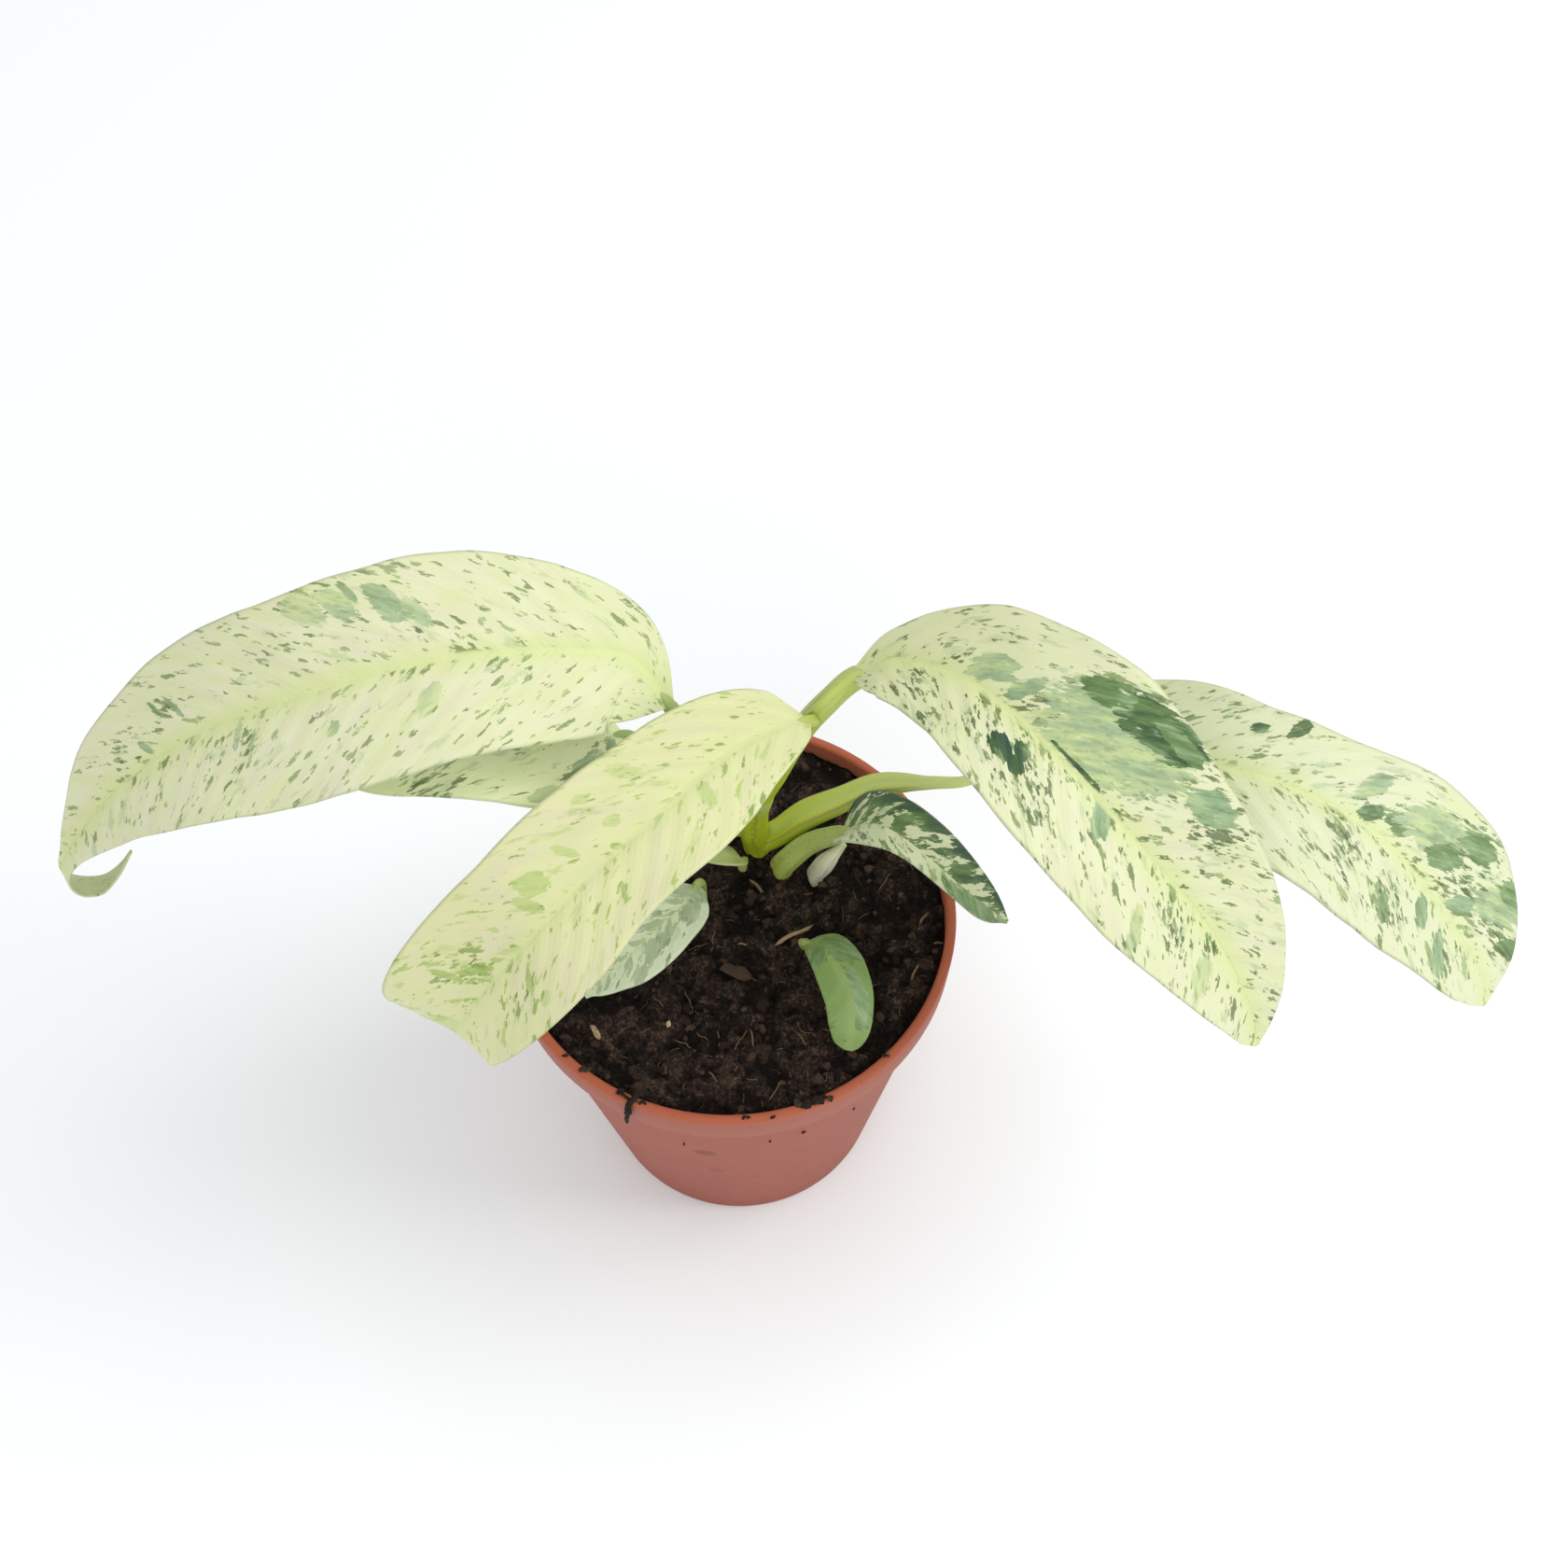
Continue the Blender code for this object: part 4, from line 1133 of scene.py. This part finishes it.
def build_peat_bed():
    """The peat's whole body: a finely lumped top, and sides and a floor that follow the pot."""
    inner, _ = pot_walls()
    sides = [(radius - GAP, height) for radius, height in reversed(inner[1:-1])]
    sides += [(sides[-1][0], FLOOR + GAP), (0, FLOOR + GAP)]
    rows = SOIL_RINGS + len(sides)

    def placed(x, y):
        row = round((y + 1) / 2 * rows)
        turn = math.pi * x
        if row <= SOIL_RINGS:
            radius = SOIL_RADIUS * row / SOIL_RINGS
            height = soil_height(radius * math.cos(turn), radius * math.sin(turn))
        else:
            radius, height = sides[row - SOIL_RINGS - 1]
        place = Vector((radius * math.cos(turn), radius * math.sin(turn), height))
        return place, (height - SOIL_LEVEL, 0, 0)

    piece = laid(SOIL_TURNS, rows, placed, "bed")
    close_up()
    bpy.ops.object.shade_smooth()
    piece.data.materials.append(peat_skin("damp_peat"))
    return finished(piece, "peat_bed", "soil")


def peat_skin(name):
    """Black-brown peat with painted shade in its hollows, and lighter crumbs and fibres in its grain."""
    skin = Finish(name)
    place = skin.place()
    raised, _, _ = skin.parts(skin.attribute("bed"))
    grain = skin.noise(place, 1100.0, 5, 0.7)
    clods = skin.noise(place, 260.0, 4, 0.65)
    colour = skin.ramp(grain * 0.7 + clods * 0.3, PEAT_GRAIN)
    colour = skin.mix(skin.step(clods, 0.52, 0.66) * 0.6, colour, CLOD_BROWN)
    # Painted shade in the hollows of the bed
    colour = skin.mix(skin.step(raised, 0.5, -0.8) * 0.85, colour, HOLLOW_SHADE)
    # Broad random dark patches: painted shade standing in for the dark gaps between clods
    shade_patches = skin.step(skin.noise(place, 110.0, 3, 0.6), 0.54, 0.42)
    colour = skin.mix(shade_patches * 0.5, colour, PATCHY_SHADE)
    swirl = skin.noise(place, 180.0, 2, 0.5, output="Color")
    warped = skin.shifted(place, skin.scaled(swirl, (0.008, 0.008, 0.008)))
    thread = skin.noise(warped, 420.0, 1, 0.4)
    strand = skin.step(abs(thread - 0.5), 0.012, 0.004) * skin.step(clods, 0.5, 0.6)
    colour = skin.mix(strand * 0.4, colour, FIBRE_TAN)
    chips = skin.node("ShaderNodeTexVoronoi", {}, {"Vector": warped, "Scale": 330.0}, "Color")
    pick, pale, _ = skin.parts(chips)
    colour = skin.mix((pick > 0.95) * (pale * 0.3 + 0.1), colour, CHIP_BROWN)
    normal = skin.bump(grain + clods * 0.8, 0.0012)
    return skin.done(colour, 0.85, normal, Specular_IOR_Level=0.15)


def scattered(template, places, name, finish, tints):
    """Copies a small shape to many places, each a matrix, as one piece with a tint for each copy."""
    points, faces, shades = [], [], []
    for matrix, tint in zip(places, tints):
        first = len(points)
        points += [matrix @ point for point in template[0]]
        faces += [[first + corner for corner in face] for face in template[1]]
        shades += [tint] * len(template[0])
    mesh = bpy.data.meshes.new(name)
    mesh.from_pydata(points, [], faces)
    values = mesh.attributes.new("tint", "FLOAT_VECTOR", "POINT")
    for i, shade in enumerate(shades):
        values.data[i].vector = (shade, 0, 0)
    mesh.materials.append(finish)
    mesh.polygons.foreach_set("use_smooth", [len(template[1]) > 20] * len(mesh.polygons))
    piece = bpy.data.objects.new(name, mesh)
    bpy.context.scene.collection.objects.link(piece)
    return finished(piece, name, None)


def crumb_shape(seed):
    """One crumb: a rough ball of a few faces, of radius 1."""
    fresh()
    bpy.ops.mesh.primitive_ico_sphere_add(subdivisions=1, radius=1)
    ball = bpy.context.object
    shift = Vector((seed, 0, 0))
    points = [
        point.co * (1 + 0.45 * noise.noise(point.co * 1.7 + shift)) for point in ball.data.vertices
    ]
    faces = [list(face.vertices) for face in ball.data.polygons]
    bpy.data.objects.remove(ball)
    return points, faces


def fibre_shape(bends, sides=4):
    """One fibre: a thin bent rod along X from -1 to 1, pointed at both ends."""
    points = [Vector((-1, 0, 0))]
    for i, (y, z) in enumerate(bends):
        x = -1 + 2 * (i + 1) / (len(bends) + 1)
        for side in range(sides):
            turn = 2 * math.pi * side / sides
            points.append(Vector((x, y + 0.05 * math.cos(turn), z + 0.05 * math.sin(turn))))
    points.append(Vector((1, 0, 0)))
    faces = []
    last = len(points) - 1
    for side in range(sides):
        after = (side + 1) % sides
        faces.append([0, 1 + after, 1 + side])
        for ring in range(len(bends) - 1):
            low, high = 1 + ring * sides, 1 + (ring + 1) * sides
            faces.append([low + side, low + after, high + after, high + side])
        end = last - sides
        faces.append([end + side, end + after, last])
    return points, faces


def debris_skin(name):
    """Bits of peat, from black through brown to tan by their tint."""
    skin = Finish(name)
    tint, _, _ = skin.parts(skin.attribute("tint"))
    grain = skin.noise(skin.place(), 1500.0, 3, 0.6)
    colour = skin.ramp(tint + grain * 0.2 - 0.1, PEAT_BITS)
    return skin.done(colour, 0.85, skin.bump(grain, 0.0003), Specular_IOR_Level=0.2)


def on_soil(draw, reach=0.98):
    """A random place on the peat, in mm."""
    radius = SOIL_RADIUS * reach * math.sqrt(draw.random())
    turn = draw.uniform(0, 2 * math.pi)
    x, y = radius * math.cos(turn), radius * math.sin(turn)
    return Vector((x, y, soil_height(x, y)))


def posed(place, size, turn, tip, squash=(1, 1, 1)):
    """A matrix that puts a unit shape, sized in mm, at a place in mm."""
    spin = Matrix.Rotation(turn, 4, "Z") @ Matrix.Rotation(tip, 4, "Y")
    return Matrix.Translation(place * MM) @ spin @ Matrix.Diagonal((*[size * MM * s for s in squash], 1))


def build_debris():
    """Crumbs, chips and fibres on the peat, drawn at random, and the bits that the photograph shows."""
    draw = random.Random(11)
    finish = debris_skin("peat_bits")
    for kind in range(CRUMB_KINDS):
        places = []
        for _ in range(CRUMBS_PER_KIND):
            size = 0.3 + 1.1 * draw.random() ** 2.5
            squash = [draw.uniform(0.55, 1.3) for _ in range(3)]
            turn, tip = draw.uniform(0, 2 * math.pi), draw.uniform(-1, 1)
            places.append(posed(on_soil(draw), size, turn, tip, squash))
        tints = [0.7 * draw.random() ** 1.2 for _ in places]
        scattered(crumb_shape(kind * 3.0), places, f"peat_crumbs_{kind + 1}", finish, tints)

    places = []
    for _ in range(CHIP_COUNT):
        size = 0.7 + 1.3 * draw.random() ** 2
        turn, tip = draw.uniform(0, 2 * math.pi), draw.uniform(-0.5, 0.5)
        places.append(posed(on_soil(draw, 0.94), size, turn, tip, (1.3, 0.6, 0.3)))
    scattered(crumb_shape(20.0), places, "bark_chips", finish, [draw.uniform(0.35, 0.62) for _ in places])

    for kind in range(FIBRE_KINDS):
        bends = [(draw.uniform(-0.18, 0.18), draw.uniform(-0.1, 0.1)) for _ in range(5)]
        places = []
        for _ in range(FIBRES_PER_KIND):
            length = 0.9 + 3.0 * draw.random() ** 2
            place = on_soil(draw, 0.94) + Vector((0, 0, 0.35))
            thin = 1.5 / length**0.55
            turn, tip = draw.uniform(0, 2 * math.pi), draw.uniform(-0.3, 0.3)
            places.append(posed(place, length, turn, tip, (1, thin, thin)))
        tints = [draw.choice((0.5, 0.62, 0.7, 0.78, 0.86)) for _ in places]
        scattered(fibre_shape(bends), places, f"peat_fibres_{kind + 1}", finish, tints)
    build_shown_bits(finish)


def build_shown_bits(finish):
    """The tan fibres, two chips, a pale grain, spilt peat and strands that the photograph shows."""
    sliver = fibre_shape([(0.02, 0.02), (0.04, 0.04), (0.03, 0.04), (0.0, 0.02), (-0.01, 0.0)])
    fibres = [
        posed(resting(x, y, 0.9), size, turn, 0.05, (1, width, width * 0.7))
        for x, y, size, turn, width, _ in SHOWN_FIBRES
    ]
    scattered(sliver, fibres, "tan_fibres", finish, [tint for *_, tint in SHOWN_FIBRES])
    chips = [
        posed(resting(-33.5, -31.0, 0.7), 1.3, -1.1, 0.2, (2.0, 0.7, 0.4)),
        posed(resting(1.5, -14.6, 0.6), 3.0, -0.4, 0.15, (1.7, 0.75, 0.3)),
    ]
    scattered(crumb_shape(31.0), chips, "tan_chips", finish, [0.93, 0.62])
    grain = [posed(resting(-15.5, -29.0, 0.6), 0.8, 0.0, 0.0)]
    scattered(crumb_shape(40.0), grain, "pale_grain", finish, [1.2])

    # Peat on the rim and the wall, and the strands that hang over the lip
    draw = random.Random(5)
    places = []
    for place, size in SPILT_PEAT:
        single = size < CLUMP_SIZE
        for _ in range(1 if single else CLUMP_CRUMBS):
            part = size * (1 if single else draw.uniform(0.3, 0.65))
            aside = [draw.uniform(-0.8, 0.8), draw.uniform(-0.25, 0.25), draw.uniform(-0.1, 0.2)]
            aside = Vector(aside) * (0 if single else size)
            squash = (draw.uniform(1.0, 1.6), draw.uniform(0.6, 1.0), draw.uniform(0.35, 0.7))
            places.append(posed(Vector(place) + aside, part, draw.uniform(0, 6.3), 0.2, squash))
    tints = [draw.uniform(0.3, 0.62) for _ in places]
    scattered(crumb_shape(52.0), places, "spilt_peat", finish, tints)
    strands = [
        posed(Vector(place), size, STRAND_TURN + turn, tip, squash)
        for place, size, turn, tip, squash, _ in HANGING_STRANDS
    ]
    scattered(sliver, strands, "hanging_strands", finish, [tint for *_, tint in HANGING_STRANDS])


def resting(x, y, lift):
    """A place a little over the peat, in mm."""
    return Vector((x, y, soil_height(x, y) + lift))


# Pot


def pot_walls():
    """The pot's inner side from the floor up, and its outer side from the rim down."""
    body_top = RIM_RADIUS - LIP_STEP
    lip_foot = POT_HEIGHT - LIP_HEIGHT
    inner_rim = RIM_RADIUS - RIM_WIDTH
    inner = [
        (BASE_RADIUS - WALL - 1, FLOOR), (BASE_RADIUS - WALL, FLOOR + 1), (body_top - WALL, lip_foot - 1),
        (inner_rim, lip_foot + 2), (inner_rim, POT_HEIGHT - 0.8),
    ]
    outer = [
        (inner_rim + 0.25, POT_HEIGHT - 0.3), (inner_rim + 0.8, POT_HEIGHT),
        (RIM_RADIUS - 0.9, POT_HEIGHT), (RIM_RADIUS - 0.25, POT_HEIGHT - 0.3),
        (RIM_RADIUS, POT_HEIGHT - 0.9),
        (RIM_RADIUS - 0.6, lip_foot + 0.9), (RIM_RADIUS - 0.75, lip_foot + 0.4),
        (RIM_RADIUS - 1.2, lip_foot), (body_top + 0.5, lip_foot - 0.2),
        (body_top + 0.15, lip_foot - 0.6), (body_top, lip_foot - 1.6),
        (BASE_RADIUS + 0.15, 1.6), (BASE_RADIUS - 0.05, 0.8),
        (BASE_RADIUS - 0.4, 0.25), (BASE_RADIUS - 1, 0),
    ]
    return inner, outer


def build_pot():
    """The pot's shell, a ring drawn along its profile, with drainage holes and a slightly uneven rim."""
    inner, outer = pot_walls()
    underside = [
        (BASE_RADIUS - FOOT_WIDTH, 0), (BASE_RADIUS - FOOT_WIDTH - 0.6, FOOT_HEIGHT),
        (HUB_RADIUS + 0.6, FOOT_HEIGHT), (HUB_RADIUS, 0), (MIDDLE_RADIUS, 0),
    ]
    profile = [(MIDDLE_RADIUS, FLOOR), *inner, *outer, *underside]
    radius, height = profile[0]
    middle = (0, 0, height * MM)
    fresh()
    bpy.ops.mesh.primitive_circle_add(vertices=POT_STEPS, radius=radius * MM, location=middle)
    pot = bpy.context.object
    bpy.ops.object.transform_apply(location=True, rotation=False, scale=False)
    bpy.ops.object.mode_set(mode="EDIT")
    bpy.ops.mesh.select_all(action="SELECT")
    for (radius, height), (next_radius, next_height) in zip(profile, profile[1:]):
        rise = (0, 0, (next_height - height) * MM)
        grown = next_radius / radius
        bpy.ops.mesh.extrude_edges_move(TRANSFORM_OT_translate={"value": rise})
        bpy.ops.transform.resize(value=(grown, grown, 1), center_override=(0, 0, next_height * MM))
    close_up()
    drill_drains(pot)
    for vertex in pot.data.vertices:
        share = max(0.0, vertex.co.z / MM / POT_HEIGHT) ** 3
        turn = math.atan2(vertex.co.y, vertex.co.x)
        spread = 1 + share * (0.0025 * math.cos(2 * turn + 0.6) + 0.0015 * math.cos(5 * turn))
        vertex.co.x *= spread
        vertex.co.y *= spread
    bpy.ops.object.shade_smooth_by_angle(angle=math.radians(38))
    pot.data.materials.append(pot_skin())
    return finished(pot, "pot_shell", "pot")


def drill_drains(pot):
    for i in range(DRAIN_COUNT):
        turn = 2 * math.pi * i / DRAIN_COUNT
        x, y = DRAIN_RING_RADIUS * math.cos(turn), DRAIN_RING_RADIUS * math.sin(turn)
        centre = Vector((x, y, FLOOR / 2)) * MM
        fresh()
        bpy.ops.mesh.primitive_cylinder_add(
            vertices=DRAIN_SIDES, radius=DRAIN_RADIUS * MM, depth=DRILL_LENGTH * MM, location=centre
        )
        drill = bpy.context.object
        fresh()
        pot.select_set(True)
        bpy.context.view_layer.objects.active = pot
        hole = pot.modifiers.new("drain", "BOOLEAN")
        hole.object = drill
        hole.solver = "EXACT"
        apply_modifier(hole)
        bpy.data.objects.remove(drill)


def pot_skin():
    """Matt terracotta-coloured plastic, dusty, with peat smears under the lip and fine turning lines."""
    skin = Finish("dusty_terracotta_plastic")
    place = skin.place()
    _, _, z = skin.parts(place)
    height = z / (POT_HEIGHT * MM)
    cloud = skin.noise(place, 28.0, 4, 0.6)
    fine = skin.noise(place, 420.0, 4, 0.65)
    colour = skin.mix(skin.step(cloud, 0.35, 0.68), WALL_DARK, WALL_RED)
    # Painted shade and light: darker towards the foot, lighter towards the top
    colour = skin.mix(skin.step(height, 0.05, 0.6) * 0.5, colour, WALL_TOP_LIT)
    # Painted light on the lip band
    lip = skin.step(height, 0.88, 0.91)
    colour = skin.mix(lip * 0.6, colour, LIP_LIT)
    dust = skin.step(skin.noise(skin.scaled(place, (1, 1, 0.35)), 60.0, 5, 0.68), 0.48, 0.75)
    colour = skin.mix(dust * 0.22, colour, DUST)
    # Painted highlight along the rim's top
    colour = skin.mix(skin.step(height, 0.98, 0.99) * 0.8, colour, RIM_TOP_LIT)
    smear = skin.step(skin.noise(skin.scaled(place, (1, 1, 0.5)), 90.0, 5, 0.7), 0.66, 0.74)
    colour = skin.mix(smear * 0.45 * skin.step(height, 0.55, 0.95), colour, PEAT_SMEAR)
    for centre, length, dark in SCUFFS:
        offset = skin.shifted(place, [-value * MM for value in centre])
        sizes = (length, SCUFF_DEPTH, SCUFF_HEIGHT)
        away = skin.length(skin.scaled(offset, [1 / (size * MM) for size in sizes]))
        scuff = skin.step(away + fine, 2.2, 1.5)
        colour = skin.mix(scuff * dark, colour, SCUFF_RED)
    specks = skin.step(skin.noise(place, 520.0, 2, 0.5), 0.72, 0.76)
    colour = skin.mix(specks * 0.6, colour, PEAT_SPECK)
    rings = (z * (2 * math.pi / (TURNING_LINE * MM))).wave() * 0.08
    normal = skin.bump(fine * 0.5 + rings + cloud * 0.3, 0.0002)
    return skin.done(colour, 0.5 + fine * 0.12 + dust * 0.12, normal, Specular_IOR_Level=0.35)


# Stage


def build_stage():
    fresh()
    bpy.ops.mesh.primitive_plane_add(size=FLOOR_SIZE, location=(0, 0, 0))
    ground = bpy.context.object
    ground.name = "floor"
    finish = Finish("pale_floor")
    ground.data.materials.append(finish.done(FLOOR_COLOUR, 0.9))

    world = bpy.data.worlds.new("soft_white")
    bpy.context.scene.world = world
    world.use_nodes = True
    sky = world.node_tree.nodes["Background"]
    sky.inputs["Color"].default_value = (1, 1, 1, 1)
    sky.inputs["Strength"].default_value = SKY_STRENGTH
    for name, (place, size, power) in LAMPS.items():
        area_light(name, place, size, power)


def area_light(name, place, size, power):
    """A square soft light that faces the plant's middle."""
    light = bpy.data.lights.new(name, "AREA")
    light.shape = "SQUARE"
    light.size = size
    light.energy = power
    lamp = bpy.data.objects.new(name, light)
    bpy.context.scene.collection.objects.link(lamp)
    lamp.location = place
    towards = Vector(LAMP_TARGET) - lamp.location
    lamp.rotation_euler = towards.to_track_quat("-Z", "Y").to_euler()


def build_camera():
    camera = bpy.data.objects.new("camera", bpy.data.cameras.new("camera"))
    bpy.context.scene.collection.objects.link(camera)
    camera.data.lens = CAMERA_LENS
    camera.data.sensor_width = CAMERA_SENSOR
    tipped = Matrix.Rotation(math.pi / 2 - CAMERA_DOWN, 4, "X")
    rolled = Matrix.Rotation(-CAMERA_ROLL, 4, "Z")
    camera.matrix_world = Matrix.Translation(Vector(CAMERA_PLACE) * MM) @ tipped @ rolled
    bpy.context.scene.camera = camera


for leaf_node, leaf_sizes in LEAVES.items():
    build_leaf(leaf_node, leaf_sizes)
build_stalks()
build_peat_bed()
build_debris()
build_pot()
build_stage()
build_camera()
bpy.context.scene.view_settings.view_transform = "Standard"
fresh()
